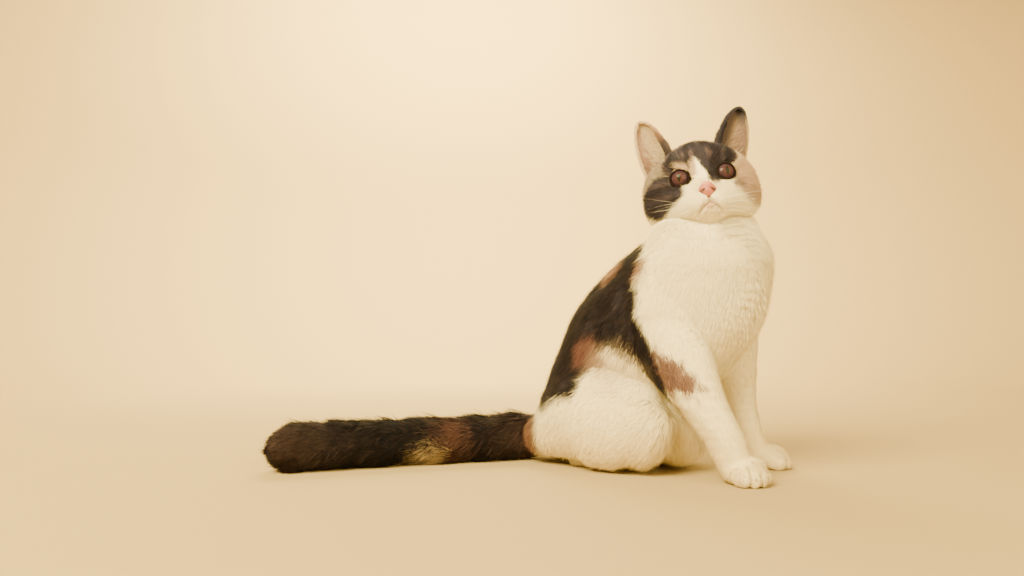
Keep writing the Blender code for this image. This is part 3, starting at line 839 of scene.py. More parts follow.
def reach_from(path, wide, points):
    """The index of the nearest place of a path, and the distance to it in half widths."""
    index = nearest_on(path, points)
    return index, np.linalg.norm(points - path[index], axis=1) / wide[index]


def path_lengths(path):
    """The distance along a path of each of its places."""
    steps = np.linalg.norm(np.diff(path, axis=0), axis=1)
    return np.concatenate([[0], np.cumsum(steps)])


def grey_fur(lon, lat):
    """The dark fur of the head: brown, dark and pale streaks that follow the hair, up over the
    crown and back over the cheeks, and a painted shade that darkens it above the eyes."""
    shade = palette()
    top = ramp(lat, -4, 12)
    crown = np.stack([lon / 2.6, lat / 11.0, 0 * lon], 1)
    cheek = np.stack([lon / 12.0, lat / 2.6, 0 * lon + 9], 1)
    fine = noise(crown, 1.0, 23) * top + noise(cheek, 1.0, 23) * (1 - top)
    broad = noise(crown * 0.45, 1.0, 26) * top + noise(cheek * 0.45, 1.0, 26) * (1 - top)
    grey = mixed(shade["grey"], shade["brown"], 0.4 * ramp(fine, -0.4, 0.5))
    grey = mixed(grey, shade["dark"], 0.55 * ramp(-broad, -0.1, 0.5))
    pale = ramp(broad + 0.6 * fine, -0.05, 0.6) * (0.14 + 0.18 * ramp(lat, 14, 26))
    grey = mixed(grey, (shade["cream"] + shade["grey"] * 4) / 2, pale)
    # Painted shade round the eyes, darkest above the left one.
    above = soft_hill(lon, lat, 24, 6, 12, 8) + 0.6 * soft_hill(lon, lat, -38, 4, 9, 10)
    return mixed(grey, shade["dark"] * 1.5, 0.5 * np.clip(above, 0, 1))


def head_colour(points):
    """Colours of the head by longitude and latitude, with soft ragged edges."""
    shade = palette()
    local = to_head(points)
    lon, lat = lon_lat(local)
    lon = lon + 1.6 * noise(points, 7.0, 21)
    lat = lat + 1.6 * noise(points, 7.0, 22)
    colour = shade["white"]
    warm = 0.55 + 0.45 * noise(points, 16.0, 24)
    cream = mixed(shade["cream"], shade["ginger"], 0.62 * warm)
    pale_cream = mixed(cream, shade["white"], 0.2 + 0.1 * warm)
    for outline in (SIDE_CREAM_LEFT, SIDE_CREAM_RIGHT):
        torn = 5.0 * noise(points * (1, 1, 2.2), 5.0, 25)
        share = inside(lon + torn, lat, outline, 7.0)
        colour = mixed(colour, cream, 0.85 * share)
        # The cream of the patch on the cat's right, painted next, is greyed as painted shade.
        cream = mixed(cream, shade["grey"], 0.65)
    for outline in (BROW_LOBE, BLAZE_LOBE):
        share = inside(lon, lat, outline, 2.0)
        colour = mixed(colour, pale_cream, share)
    grey = grey_fur(lon, lat)
    edge_lon, edge_lat = np.array(CROWN_EDGE, float).T
    crown = ramp(lat - np.interp(lon, edge_lon, edge_lat), -2.5, 2.5)
    cheek = inside(lon, lat, CHEEK_PATCH, 2.5)
    streak = 0.8 * inside(lon, lat, BROW_STREAK, 1.5)
    share = np.maximum(np.maximum(crown, cheek), streak)
    for spot_lon, spot_lat, reach in DUCT_SPOTS:
        spot = np.exp(-(((lon - spot_lon) ** 2 + (lat - spot_lat) ** 2) / reach**2))
        share = np.maximum(share, 0.85 * spot)
    colour = mixed(colour, grey, share)
    for side in (1, -1):
        eye = to_eye(local, side)
        ring = ramp(-lid_reach(eye, side), -1.22, -1.06) * (eye[:, 1] < 0)
        ring = ring * (np.linalg.norm(eye, axis=1) < EYE_RADIUS + 6)
        colour = mixed(colour, np.array(bpy.context.scene.cat_face.lid), ring)
    lower = soft_hill(lon, lat, 0, -35, 4.5, 2.6) * (np.linalg.norm(local, axis=1) < 80)
    colour = mixed(colour, np.array(bpy.context.scene.cat_face.nose) * 1.6, 0.5 * lower)
    shadow = np.exp(-((mouth_distance(lon, lat) / 1.5) ** 2)) * (np.linalg.norm(local, axis=1) < 80)
    return colour * (1 - 0.35 * shadow)[:, None]


def tail_colour(points):
    """Colours along the tail, ringed by TAIL_BANDS, with a cream patch below the ginger one."""
    shade = palette()
    path = smooth_rows(TAIL, 8)[:, :3]
    along = path_lengths(path)[nearest_on(path, points)]
    end = unit(path[-1] - path[-2])
    along = along + np.maximum((points - path[-1]) @ end, 0)
    along = along + 5.0 * noise(points, 14.0, 31)
    bands = np.array(TAIL_BANDS, float)
    colour = np.zeros((len(points), 3))
    for k, name in enumerate(("dark", "brown", "ginger", "cream")):
        colour += np.interp(along, bands[:, 0], bands[:, k + 1])[:, None] * shade[name]
    low = ramp(-points[:, 2] + 6 * noise(points, 12.0, 33), -26, -14)
    patch = ramp(along, 132, 142) * ramp(-along, -170, -156) * low
    return mixed(colour, (shade["cream"] + shade["white"]) / 2, 0.8 * patch)


def body_colour(points):
    """Colours of the trunk and legs: dark behind the breast's edge and above the thigh's, with
    ginger and cream patches on the near side and others like them on the far side."""
    shade = palette()
    ragged = 3.2 * noise(points, 13.0, 41) + 2.4 * noise(points * (1, 1, 0.6), 4.5, 46)
    x, y, z = (points + ragged[:, None]).T
    near = ramp(-x, -12, 2)
    y = y + (1 - near) * 9 * noise(points, 50.0, 42)
    z = z + (1 - near) * 9 * noise(points, 50.0, 43)
    colour = shade["white"]
    edge_z, edge_y = np.array(BREAST_EDGE, float).T
    behind = ramp(y - np.interp(z, edge_z, edge_y), -3.5, 3.5)
    edge_y, edge_z = np.array(THIGH_EDGE, float).T
    above = ramp(z - np.interp(y, edge_y, edge_z), -4, 4)
    streaks = 0.5 + 0.5 * noise(points * (1, 1, 0.25), 4.0, 44)
    saddle = mixed(shade["dark"], shade["brown"], 0.6 * streaks**2)
    tabby = ramp(noise(points * (1, 1.4, 0.5), 22.0, 45), 0.05, 0.6)
    ticking = ramp(noise(points * (1, 1, 0.35), 1.5, 47), 0.1, 0.6)
    saddle = mixed(saddle, shade["grey"] * 1.6, 0.3 * tabby + 0.35 * ticking)
    colour = mixed(colour, saddle, behind * above)
    ginger = mixed(shade["ginger"], shade["brown"], 0.3 * streaks)
    for outline, soft, pale in (
        (BACK_SPOT, 4.5, 0.95),
        (SHOULDER_SPOT, 2.5, 0.8),
        (HAUNCH_GINGER, 4.0, 0.0),
    ):
        share = inside(y, z, outline, soft)
        colour = mixed(colour, mixed(ginger, shade["cream"], pale), share)
    pale = mixed(shade["cream"], shade["white"], 0.15 + 0.4 * streaks)
    colour = mixed(colour, pale, 0.6 * inside(y, z, HAUNCH_CREAM, 14.0) * behind)
    torn = 5.0 * noise(points * (1, 0.6, 1), 3.0, 48)
    elbow = mixed(ginger, shade["cream"], 0.75 * streaks)
    elbow = mixed(elbow, shade["brown"] * 4, 0.4 * inside(y, z, ELBOW_PATCH, 16.0))
    share = inside(y + torn, z + torn, ELBOW_PATCH, 3.0) * near * ramp(-x, 44, 60)
    return mixed(colour, elbow, share)


def coat_colour(points):
    """The colour of the coat at any place: head, tail and body, each in its own reach."""
    head = ramp(above_neck(points), -6, 6)
    tail = ramp(points @ np.array([-0.45, 0.9, 0.0]), 8, 16) * ramp(-points[:, 2], -75, -60)
    colour = body_colour(points)
    shade = palette()
    tail_shade = tail_colour(points)
    spot = 0.8 * inside(points[:, 1], points[:, 2], RUMP_SPOT, 5.0) * ramp(-points[:, 0], 22, 30)
    warm = mixed(shade["ginger"], shade["cream"], 0.5)
    colour = mixed(colour, tail_shade, tail)
    colour = mixed(colour, warm, spot)
    # Darker and warmer below 70 mm: partly painted shade low down near the floor, partly the yellower
    # hair of the paws.
    colour = colour * (1 - (0.1, 0.16, 0.3) * ramp(-points[:, 2], -70, -15)[:, None])
    # Painted shade in the partings between the toes.
    colour = mixed(colour, shade["brown"] * 3, 0.5 * toe_parting(points))
    return mixed(colour, head_colour(points), head)


def skin_colour(points):
    """The skin under the coat: the coat's colour, darker, and pink on the lips."""
    colour = coat_colour(points) * 0.8
    lon, lat = lon_lat(to_head(points))
    lips = np.exp(-((mouth_distance(lon, lat) / 1.6) ** 2)) * (np.abs(lon) < 14)
    lower = soft_hill(lon, lat, 0, -34.5, 4, 2.2)
    pink = np.array(bpy.context.scene.cat_face.nose) * 0.9
    near = np.linalg.norm(to_head(points), axis=1) < 80
    return mixed(colour, pink, np.clip(lips + lower, 0, 1) * near)


# Growth of the coat

# Each form of the coat: the way of the hair along its path, the coat's depth, and the hair's
# length and width.
GROWTH = {
    "trunk": (-1, 6.0, 14.0, 0.65),
    "belly": (1, 6.0, 19.0, 0.6),
    "tail": (1, 8.5, 23.0, 1.0),
    "haunch_left": (-1, 5.5, 14.0, 0.7),
    "haunch_right": (-1, 5.5, 14.0, 0.7),
    "foot_left": (1, 2.4, 6.0, 0.6),
    "foot_right": (1, 2.4, 6.0, 0.6),
    "foreleg_left": (1, 2.8, 8.0, 0.65),
    "foreleg_right": (1, 2.8, 8.0, 0.65),
}


def growth_paths():
    """The path of each form of the coat, as places and half widths."""
    mirror = np.array([-1, 1, 1, 1, 1])
    trunk_path, trunk_side, _ = trunk_rings()
    paths = {"trunk": (trunk_path, np.linalg.norm(trunk_side, axis=1) * 0.95)}
    rows = {
        "belly": BELLY,
        "tail": TAIL,
        "haunch_left": HAUNCH,
        "haunch_right": HAUNCH * mirror,
        "foot_left": HIND_FOOT,
        "foot_right": HIND_FOOT * mirror,
        "foreleg_left": FORELEG_LEFT[1:],
        "foreleg_right": FORELEG_RIGHT[1:],
    }
    for name, table in rows.items():
        path = smooth_rows(table, 8)
        paths[name] = (path[:, :3], (path[:, 3] + path[:, 4]) / 2)
    return paths


def growth(points, normals):
    """At each point of the skin: the way the hair lies, the coat's depth, the hair's length and
    width, and the form that the point belongs to. The forms are mixed by their distance in
    half widths, the head follows the way from the nose, and all lie along the skin."""
    paths = growth_paths()
    weights, ways, sizes = [], [], []
    for name, (way, depth, length, width) in GROWTH.items():
        index, away = reach_from(*paths[name], points)
        weights.append(np.exp(-9.0 * np.abs(away - 0.85)))
        ways.append(unit(np.gradient(paths[name][0], axis=0))[index] * way)
        sizes.append((depth, length, width))
    weights = np.array(weights) + 1e-12
    weights /= weights.sum(0)
    share = dict(zip(GROWTH, weights))
    lie = np.einsum("kn,knd->nd", weights, np.array(ways))
    haunch = share["haunch_left"] + share["haunch_right"]
    lie[:, 2] -= (0.35 + 0.75 * haunch) * ramp(points[:, 2], 12 - 24 * haunch, 40 - 34 * haunch)
    size = np.einsum("kn,ks->ns", weights, np.array(sizes))
    knee = haunch * ramp(-points[:, 1], 105, 150) * ramp(-points[:, 2], -95, -60)
    size = size * (1 + knee[:, None] * (0.1, 0.35, -0.2))
    tail = paths["tail"][0]
    blunt = ramp((points - tail[-1]) @ unit(tail[-1] - tail[-2]), -20, 0)
    size[:, 1] *= 1 - 0.5 * blunt * share["tail"]
    local = to_head(points)
    lon, lat = lon_lat(local)
    head = ramp(above_neck(points), -14, 10)
    from_nose = unit(local - np.array([0, -66, -17]))
    from_nose[:, 2] -= 0.45 * ramp(-local[:, 2], 10, 35)
    head_lie = from_nose @ HEAD_AXES.T
    lie = mixed(lie, head_lie, head)
    depth = coat_depth_on_head(lon, lat)
    head_size = np.stack([depth, 2.2 + 1.9 * depth, 0.30 + 0.08 * depth], 1)
    size = mixed(size, head_size, head)
    toes = ramp(-points[:, 2], -26, -14) * ramp(-points[:, 1], 190, 205)
    size = size * (1 - 0.35 * toes)[:, None]
    size[:, 0] *= 1 - 0.75 * toe_parting(points)
    lie = unit(lie - (lie * normals).sum(1, keepdims=True) * normals)
    form = weights.argmax(0)
    return lie, size, np.where(head > 0.5, len(GROWTH), form)


def chart(points, form):
    """The place of each point on an unwrap of its form: the distance along its path and the turn
    round it, both from 0 to 1. On the head they are latitude and longitude."""
    found = np.zeros((len(points), 2))
    paths = growth_paths()
    for k, name in enumerate(GROWTH):
        chosen = form == k
        if not chosen.any():
            continue
        path, _ = paths[name]
        index = nearest_on(path, points[chosen])
        lengths = path_lengths(path)
        along = unit(np.gradient(path, axis=0))[index]
        away = points[chosen] - path[index]
        more = (away * along).sum(1)
        side = unit(np.cross(along, np.array([0.12, 0.2, 0.97])))
        up = np.cross(side, along)
        turn = np.arctan2((away * up).sum(1), (away * side).sum(1))
        place = (lengths[index] + more + 30) / (lengths[-1] + 60)
        found[chosen] = np.stack([np.clip(place, 0, 1), turn / (2 * math.pi) + 0.5], 1)
    chosen = form == len(GROWTH)
    lon, lat = lon_lat(to_head(points[chosen]))
    found[chosen] = np.stack([(lat + 90) / 180, (lon + 180) / 360], 1)
    return found


def piece_of(points, form):
    """The number of the piece of coat that each place belongs to."""
    local = to_head(points)
    piece = np.full(len(points), PIECES.index("coat_back"))
    _, y, z = points.T
    names = list(GROWTH)
    low = ("haunch_left", "haunch_right", "foot_left", "foot_right", "belly")
    piece[np.isin(form, [names.index(name) for name in low])] = PIECES.index("coat_haunches")
    front = (form == names.index("trunk")) & (y < np.interp(z, *BREAST_LIMIT))
    piece[front] = PIECES.index("coat_breast")
    piece[front & (z > NECK_LIMIT)] = PIECES.index("coat_neck")
    legs = np.isin(form, [names.index("foreleg_left"), names.index("foreleg_right")])
    piece[legs] = PIECES.index("coat_forelegs")
    piece[form == names.index("tail")] = PIECES.index("coat_tail")
    head = form == len(GROWTH)
    piece[head] = PIECES.index("coat_nape")
    piece[head & (local[:, 1] < FACE_LIMIT)] = PIECES.index("coat_face")
    return piece


# Each piece of the coat: its share of the full number of tufts and its group, which only sets
# how far along the tufts of the head they take their colour.
PIECE_SHARES = {
    "coat_face": (1.0, "coat_head"),
    "coat_nape": (0.6, "coat_head"),
    "coat_neck": (0.9, "coat_white"),
    "coat_breast": (1.0, "coat_white"),
    "coat_back": (1.0, "coat_saddle"),
    "coat_haunches": (1.0, "coat_white"),
    "coat_forelegs": (1.0, "coat_white"),
    "coat_tail": (0.9, "coat_tail"),
}
PIECES = tuple(PIECE_SHARES)
# Where the pieces meet: the breast's last y at heights z, the neck's lowest z, and the y in the
# head's frame behind which the nape begins.
BREAST_LIMIT = ((60, 160, 280), (-150, -140, -190))
NECK_LIMIT = 205
FACE_LIMIT = 4

# How the tufts of a piece stray: how far they turn from their way, the size of a clump, how far
# its tips draw together, and how unevenly the clumps stand up.
CLUMPS = {
    "coat_face": (0.14, 3.0, 0.1, 0.05),
    "coat_nape": (0.16, 4.0, 0.1, 0.05),
    "coat_neck": (0.18, 5.0, 0.02, 0.0),
    "coat_breast": (0.18, 5.0, 0.02, 0.0),
    "coat_back": (0.2, 6.0, 0.22, 0.25),
    "coat_haunches": (0.2, 6.0, 0.02, 0.0),
    "coat_forelegs": (0.18, 5.0, 0.03, 0.0),
    "coat_tail": (0.26, 8.0, 0.4, 0.6),
}
# The share of tufts that stand loose, higher and thinner, the lowest that hair reaches over the
# floor, and the nearest share of a tuft's length at which it takes its colour.
LOOSE_SHARE = 0.08
FLOOR_GAP = 0.3
COLOUR_FROM = 0.4
HEAD_COLOUR_FROM = 0.85


def skin_triangles(mesh):
    """The mesh's triangles as an array of point numbers."""
    mesh.calc_loop_triangles()
    corners = np.zeros(len(mesh.loop_triangles) * 3, np.int32)
    mesh.loop_triangles.foreach_get("vertices", corners)
    return corners.reshape(-1, 3)


def scattered(points, triangles, count, density, rng):
    """Random places on triangles: chosen by area times density, then by two random shares
    folded into the triangle. Gives the triangles and the three shares."""
    a, b, c = (points[triangles[:, k]] for k in range(3))
    area = np.linalg.norm(np.cross(b - a, c - a), axis=1) * density
    reach = np.cumsum(area)
    chosen = np.searchsorted(reach, rng.random(count) * reach[-1])
    u, v = rng.random(count), rng.random(count)
    over = u + v > 1
    u, v = np.where(over, 1 - u, u), np.where(over, 1 - v, v)
    return np.minimum(chosen, len(triangles) - 1), np.stack([1 - u - v, u, v], 1)


def clumped(points, size):
    """The middle of the points that share a cell of the given size, for each point."""
    cells = np.floor(points / size).astype(np.int64)
    _, index = np.unique(cells, axis=0, return_inverse=True)
    index = index.ravel()
    count = np.bincount(index)
    sums = [np.bincount(index, points[:, k]) for k in range(3)]
    return (np.stack(sums, 1) / count[:, None])[index]


def tuft_points(roots, normals, lie, size, rng, sweep=0.16, clump=5.0, gather=0.2, rough=0.1):
    """Points of flat pointed tufts: the root, a pair part of the way and the tip. A place at
    share s of the hair is root + length times s along its lie + depth times
    (1 - (1 - s) squared) out of the skin. The tips of one clump draw together, and a few thin
    tufts stand higher than the rest."""
    count = len(roots)
    depth, length, width = size.T
    spin = rng.normal(0, sweep, count)
    side = np.cross(normals, lie)
    way = lie * np.cos(spin)[:, None] + side * np.sin(spin)[:, None]
    across = np.cross(normals, way)
    roll = rng.normal(0, 0.22, count)[:, None]
    flat = across * np.cos(roll) + normals * np.sin(roll)
    loose = rng.random(count) < LOOSE_SHARE
    long = (length * rng.uniform(0.75, 1.2, count))[:, None]
    high = (depth * rng.uniform(0.8, 1.03, count) * np.where(loose, 1.5, 1.0))[:, None]
    wide = (width * rng.uniform(0.7, 1.25, count) * np.where(loose, 0.5, 1.0))[:, None] * 0.5
    high = high * (1 + rough * noise(roots, clump * 1.3, 71))[:, None]
    pull = (clumped(roots, clump) - roots) * gather
    rows = []
    for share in (0.0, 0.5, 1.0):
        rise = 1 - (1 - share) ** 2
        place = roots - normals * 0.4 + way * long * share + normals * (high * rise)
        rows.append(place + pull * share**1.5)
    root, middle, tip = rows
    return np.stack([root, middle - flat * wide, middle + flat * wide, tip], 1)


# A tuft's faces, what its colour is multiplied by at each of its four points, a painted shade
# darker at the root and a painted light at the tip, and the points' places in its patch of the map.
TUFT_FACES = np.array([[0, 1, 2], [1, 3, 2]])
TUFT_DEPTH_SHADE = np.array([0.76, 0.95, 0.95, 1.08])[None, :, None]
TUFT_PATCH = np.array([[0.5, 0], [0, 0.5], [1, 0.5], [0.5, 1]]) * 0.003


def tuft_normals(points, out, share=0.82):
    """Normals of the four points of each tuft: the tuft's own, from its width and its run,
    mixed with the skin's, so that the coat shades as one soft surface."""
    wide = points[:, 2] - points[:, 1]
    middle = (points[:, 1] + points[:, 2]) / 2
    low = unit(np.cross(middle - points[:, 0], wide))
    high = unit(np.cross(points[:, 3] - middle, wide))
    between = unit(low + high)
    own = np.stack([low, between, between, high], 1)
    return unit(own * (1 - share) + out[:, None] * share)


def tuft_object(name, points, out, colours, places, material):
    """One mesh of many tufts, each of four points, with its colours and normals, and a map on
    which each tuft is a small patch at its root's place."""
    count = len(points)
    flat = points.reshape(-1, 3).copy()
    flat[:, 2] = np.maximum(flat[:, 2], FLOOR_GAP)
    faces = (np.arange(count)[:, None, None] * 4 + TUFT_FACES[None]).reshape(-1, 3)
    mesh = bpy.data.meshes.new(name)
    mesh.vertices.add(len(flat))
    mesh.vertices.foreach_set("co", placed(flat).astype(np.float32).ravel())
    mesh.loops.add(faces.size)
    mesh.loops.foreach_set("vertex_index", faces.astype(np.int32).ravel())
    mesh.polygons.add(len(faces))
    mesh.polygons.foreach_set("loop_start", np.arange(0, faces.size, 3, dtype=np.int32))
    mesh.update(calc_edges=True)
    mesh.shade_smooth()
    mesh.normals_split_custom_set_from_vertices(tuft_normals(points, out).reshape(-1, 3))
    paint(mesh, colours.reshape(-1, 3))
    spots = (places[:, None] * 0.994 + TUFT_PATCH[None]).reshape(-1, 2)
    layer = mesh.uv_layers.new(name="OFBake")
    layer.uv.foreach_set("vector", spots[faces.ravel()].astype(np.float32).ravel())
    made = bpy.data.objects.new(name, mesh)
    bpy.context.scene.collection.objects.link(made)
    made.data.materials.append(material)
    return made


def bare_places(local, rng):
    """Which places of the head's frame carry no hair: the eyes, lids, nose and mouth."""
    lon, lat = lon_lat(local)
    bare = np.zeros(len(local), bool)
    near = np.linalg.norm(local, axis=1) < 90
    for side in (1, -1):
        eye = to_eye(local, side)
        bare |= (lid_reach(eye, side) < 1.06) & (eye[:, 1] < 0) & near
    nose = nose_share(lon, lat) > -0.04
    lips = (mouth_distance(lon, lat) < 0.6 + 0.5 * rng.random(len(local))) & (np.abs(lon) < 12)
    chin = soft_hill(lon, lat, 0, -34.5, 3.5, 1.4) > 0.8
    return bare | ((nose | lips | chin) & near & (local[:, 1] < 0))


def depth_shaded(colours):
    """The colours of each tuft's four points, with painted shade at the root and painted light at
    the tip, less so in pale fur, which lets light through."""
    dark = ramp(-colours.mean(1), -0.5, -0.1)[:, None, None]
    shade_factor = 1 + (TUFT_DEPTH_SHADE - 1) * (0.3 + 0.7 * dark)
    return np.clip(colours[:, None] * shade_factor, 0, 1)


def uneven(colours, rng):
    """Each tuft's colour a little lighter or darker, more so in dark fur, where a few are pale."""
    count = len(colours)
    dark = ramp(-colours.mean(1), -0.35, -0.05)
    spread = 0.03 + 0.24 * dark
    colours = colours * np.exp(rng.normal(0, 1, count) * spread)[:, None]
    pale = palette()["cream"] * 0.3
    return mixed(colours, pale, 0.3 * dark * (rng.random(count) < 0.07))


def build_coat(skin):
    """Covers the skin with tufts, piece by piece."""
    coat = bpy.context.scene.cat_coat
    points, normals = points_of(skin.data), normals_of(skin.data)
    triangles = skin_triangles(skin.data)
    lie, size, form = growth(points, normals)
    middles = points[triangles].mean(1)
    corner_form = form[triangles[:, 0]]
    piece = piece_of(middles, corner_form)
    density = 1 / np.sqrt(size[triangles].mean(1)[:, 1] / 10)
    density = density * np.where(middles[:, 2] < 1.2, 0.02, 1.0)
    material = hair_material()
    for number, (name, (share, slot)) in enumerate(PIECE_SHARES.items()):
        rng = np.random.default_rng(SEED + number)
        own = np.flatnonzero(piece == number)
        count = int(coat.tufts * share)
        chosen, parts = scattered(points, triangles[own], count, density[own], rng)
        corners = triangles[own][chosen]
        roots = (points[corners] * parts[..., None]).sum(1)
        out = unit((normals[corners] * parts[..., None]).sum(1))
        way = (lie[corners] * parts[..., None]).sum(1)
        way = unit(way - (way * out).sum(1, keepdims=True) * out)
        scale = (size[corners] * parts[..., None]).sum(1) * (1, coat.length, coat.width)
        keep = ~bare_places(to_head(roots), rng)
        roots, out, way, scale = roots[keep], out[keep], way[keep], scale[keep]
        group = corner_form[own][chosen][keep]
        least = HEAD_COLOUR_FROM if slot == "coat_head" else COLOUR_FROM
        hair = tuft_points(roots, out, way, scale, rng, *CLUMPS[name])
        seen = roots + way * scale[:, 1:2] * rng.uniform(least, 1.25, (len(roots), 1))
        colours = depth_shaded(uneven(coat_colour(seen), rng))
        groups, order = np.unique(group, return_inverse=True)
        places = chart(roots, group)
        places[:, 0] = (order.ravel() + 0.01 + places[:, 0] * 0.98) / len(groups)
        tufts = tuft_object(name, hair, out, colours, places, material)
        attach(tufts, "root")


# Materials


def new_material(name):
    """A material with its node tree and its shader."""
    material = bpy.data.materials.new(name)
    material.use_nodes = True
    return material, material.node_tree, material.node_tree.nodes["Principled BSDF"]


def add_node(tree, kind, place, **values):
    """Adds a node, and sets its inputs by name and its settings by lower-case name."""
    node = tree.nodes.new(kind)
    node.location = place
    for key, value in values.items():
        if key in node.inputs:
            node.inputs[key].default_value = value
        else:
            setattr(node, key, value)
    return node


def add_grain(tree, scale, detail):
    """Noise in the object's own coordinates."""
    where = add_node(tree, "ShaderNodeTexCoord", (-1000, -200))
    grain = add_node(tree, "ShaderNodeTexNoise", (-800, -200), Scale=scale, Detail=detail)
    tree.links.new(where.outputs["Object"], grain.inputs["Vector"])
    return grain.outputs["Fac"]


def add_bump(tree, shader, grain, strength, height):
    """Lets the grain stand up from the surface."""
    bump = add_node(tree, "ShaderNodeBump", (-250, -300), Strength=strength, Distance=height)
    tree.links.new(grain, bump.inputs["Height"])
    tree.links.new(bump.outputs["Normal"], shader.inputs["Normal"])


def coloured_material(name, scale, detail, spread, bump, values):
    """A material in the piece's own colours times 1 - spread to 1 + spread by a fine grain, which
    also stands up where bump gives a strength and a height. Values go to the shader's sockets."""
    material, tree, shader = new_material(name)
    own = add_node(tree, "ShaderNodeAttribute", (-800, 100), attribute_name=COLOUR_NAME)
    grain = add_grain(tree, scale, detail)
    uneven_by = add_node(tree, "ShaderNodeMapRange", (-500, -200))
    uneven_by.inputs["To Min"].default_value = 1 - spread
    uneven_by.inputs["To Max"].default_value = 1 + spread
    tree.links.new(grain, uneven_by.inputs["Value"])
    colour = add_node(tree, "ShaderNodeVectorMath", (-250, 0), operation="SCALE")
    tree.links.new(own.outputs["Color"], colour.inputs[0])
    tree.links.new(uneven_by.outputs["Result"], colour.inputs["Scale"])
    tree.links.new(colour.outputs["Vector"], shader.inputs["Base Color"])
    if bump:
        add_bump(tree, shader, grain, *bump)
    for socket, value in values.items():
        shader.inputs[socket].default_value = value
    return material


def hair_material():
    """Hair: its own colour, a little uneven, with a soft sheen."""
    values = {
        "Roughness": 0.7,
        "Specular IOR Level": 0.1,
        "Sheen Weight": 0.03,
        "Sheen Roughness": 0.5,
    }
    return coloured_material("hair", 900.0, 2.0, 0.15, None, values)


def skin_material():
    """Skin and undercoat: the coat's colours with a fine bump of short hair."""
    bump = (0.5, 0.001)
    return coloured_material("skin_and_undercoat", 700.0, 4.0, 0.2, bump, {"Roughness": 0.8})


def bare_material(name, roughness, coat=0.0, gloss=0.5, scale=500.0, height=0.0):
    """A piece without hair: its own colours, a gloss, a wet coat, and a bump where it has a
    height."""
    values = {
        "Roughness": roughness,
        "Coat Weight": coat,
        "Coat Roughness": 0.04,
        "Specular IOR Level": gloss,
    }
    bump = (0.6, height) if height else None
    return coloured_material(name, scale, 2.0, 0.1, bump, values)


# Eyes and lids

# What the iris is multiplied by round the pupil, and the colour of the eye beyond the iris.
IRIS_WARMTH = (1.35, 1.1, 0.8)
EYE_DARK = (0.012, 0.006, 0.005)


def eye_grid():
    """The eye as rings round its line of sight, at angle a from it: a ball, with the cornea
    raised over the iris by 0.7 mm times a smooth step."""
    angle = np.linspace(0.002, math.pi - 0.01, 90)[:, None]
    turn = np.linspace(0, 2 * math.pi, 96, endpoint=False)[None, :]
    radius = EYE_RADIUS - 0.35 + 0.7 * (1 - ramp(angle, 0.25, 0.95))
    flat = np.sin(angle) * radius
    ahead = -np.cos(angle) * radius + 0 * turn
    return np.stack([np.cos(turn) * flat, ahead, np.sin(turn) * flat], -1)


def eye_colour(points, face):
    """Colours of the eye by the place in front: the oval pupil, the iris with its fine spokes,
    darker rim and a painted shade of the upper lid over its top, and the dark beyond it."""
    x, y, z = points.T
    out = np.hypot(x, z)
    turn = np.arctan2(z, x)
    spokes = noise(np.stack([turn * 9, out * 0.35, 0 * out], 1), 1.0, 51)
    fine = noise(np.stack([turn * 26, out * 0.5, 0 * out], 1), 1.0, 52)
    iris = np.array(face.iris) * (1 + 0.28 * spokes + 0.16 * fine)[:, None]
    iris = iris * (1 + (np.array(IRIS_WARMTH) - 1) * ramp(-out, -6.5, -3.0)[:, None])
    # Painted shade of the upper lid across the top of the iris.
    iris = iris * (1 - 0.25 * ramp(z, 1, 8))[:, None]
    dark = np.array(EYE_DARK)
    colour = mixed(iris, dark, ramp(out, 6.9, 7.9))
    pupil = ramp(-np.hypot(x / 1.75, z / 3.9), -1.12, -0.9)
    colour = mixed(colour, np.array(face.pupil), pupil)
    return np.where((y > 0)[:, None], dark[None], np.clip(colour, 0, 1))


def build_eyes():
    """Both eyes, each with a raised wet cornea, and the dark rims of the lids."""
    face = bpy.context.scene.cat_face
    wet = bare_material("wet_eye", 0.5, coat=0.12, gloss=0.05)
    rim_skin = bare_material("lid_rim", 0.7, gloss=0.08, scale=900.0, height=0.0002)
    for side, word in ((1, "left"), (-1, "right")):
        points, faces = closed_tube(eye_grid())
        eye = mesh_object("eye_glass_" + word, from_eye(points, side), faces)
        outward(eye)
        paint(eye.data, eye_colour(points, face))
        eye.data.materials.append(wet)
        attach(eye, "root")
        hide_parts("eye_" + word)
        rim_points, rim_faces = closed_ring(lid_ring(side))
        rim = mesh_object("lid_rim_" + word, from_eye(rim_points, side), rim_faces)
        outward(rim)
        paint(rim.data, np.tile(np.array(face.lid), (len(rim_points), 1)))
        rim.data.materials.append(rim_skin)
        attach(rim, "root")


def lid_ring(side):
    """The rim of the lids in the eye's frame: an oval tube along the edge of the opening, on a
    ball a little larger than the eye. The edge is the opening's oval times 1 + the tear duct."""
    t = np.linspace(0, 2 * math.pi, 120, endpoint=False)
    duct = tear_duct(np.arctan2(np.sin(t), np.cos(t)))
    x = -side * np.cos(t) * LID_OPENING[0] * (1 + duct)
    z = np.sin(t) * LID_OPENING[1] * (1 + duct)
    ball = EYE_RADIUS + 0.5
    y = -np.sqrt(np.maximum(ball**2 - x**2 - z**2, 4.0))
    middle = np.stack([x, y, z], 1)
    along = unit(np.roll(middle, -1, 0) - np.roll(middle, 1, 0))
    out = unit(middle - (middle * along).sum(1, keepdims=True) * along)
    across = np.cross(along, out)
    turn = np.linspace(0, 2 * math.pi, 12, endpoint=False)
    circle = np.cos(turn)[None, :, None] * across[:, None] * 1.15
    circle = circle + np.sin(turn)[None, :, None] * out[:, None] * 0.7
    return middle[:, None] + circle


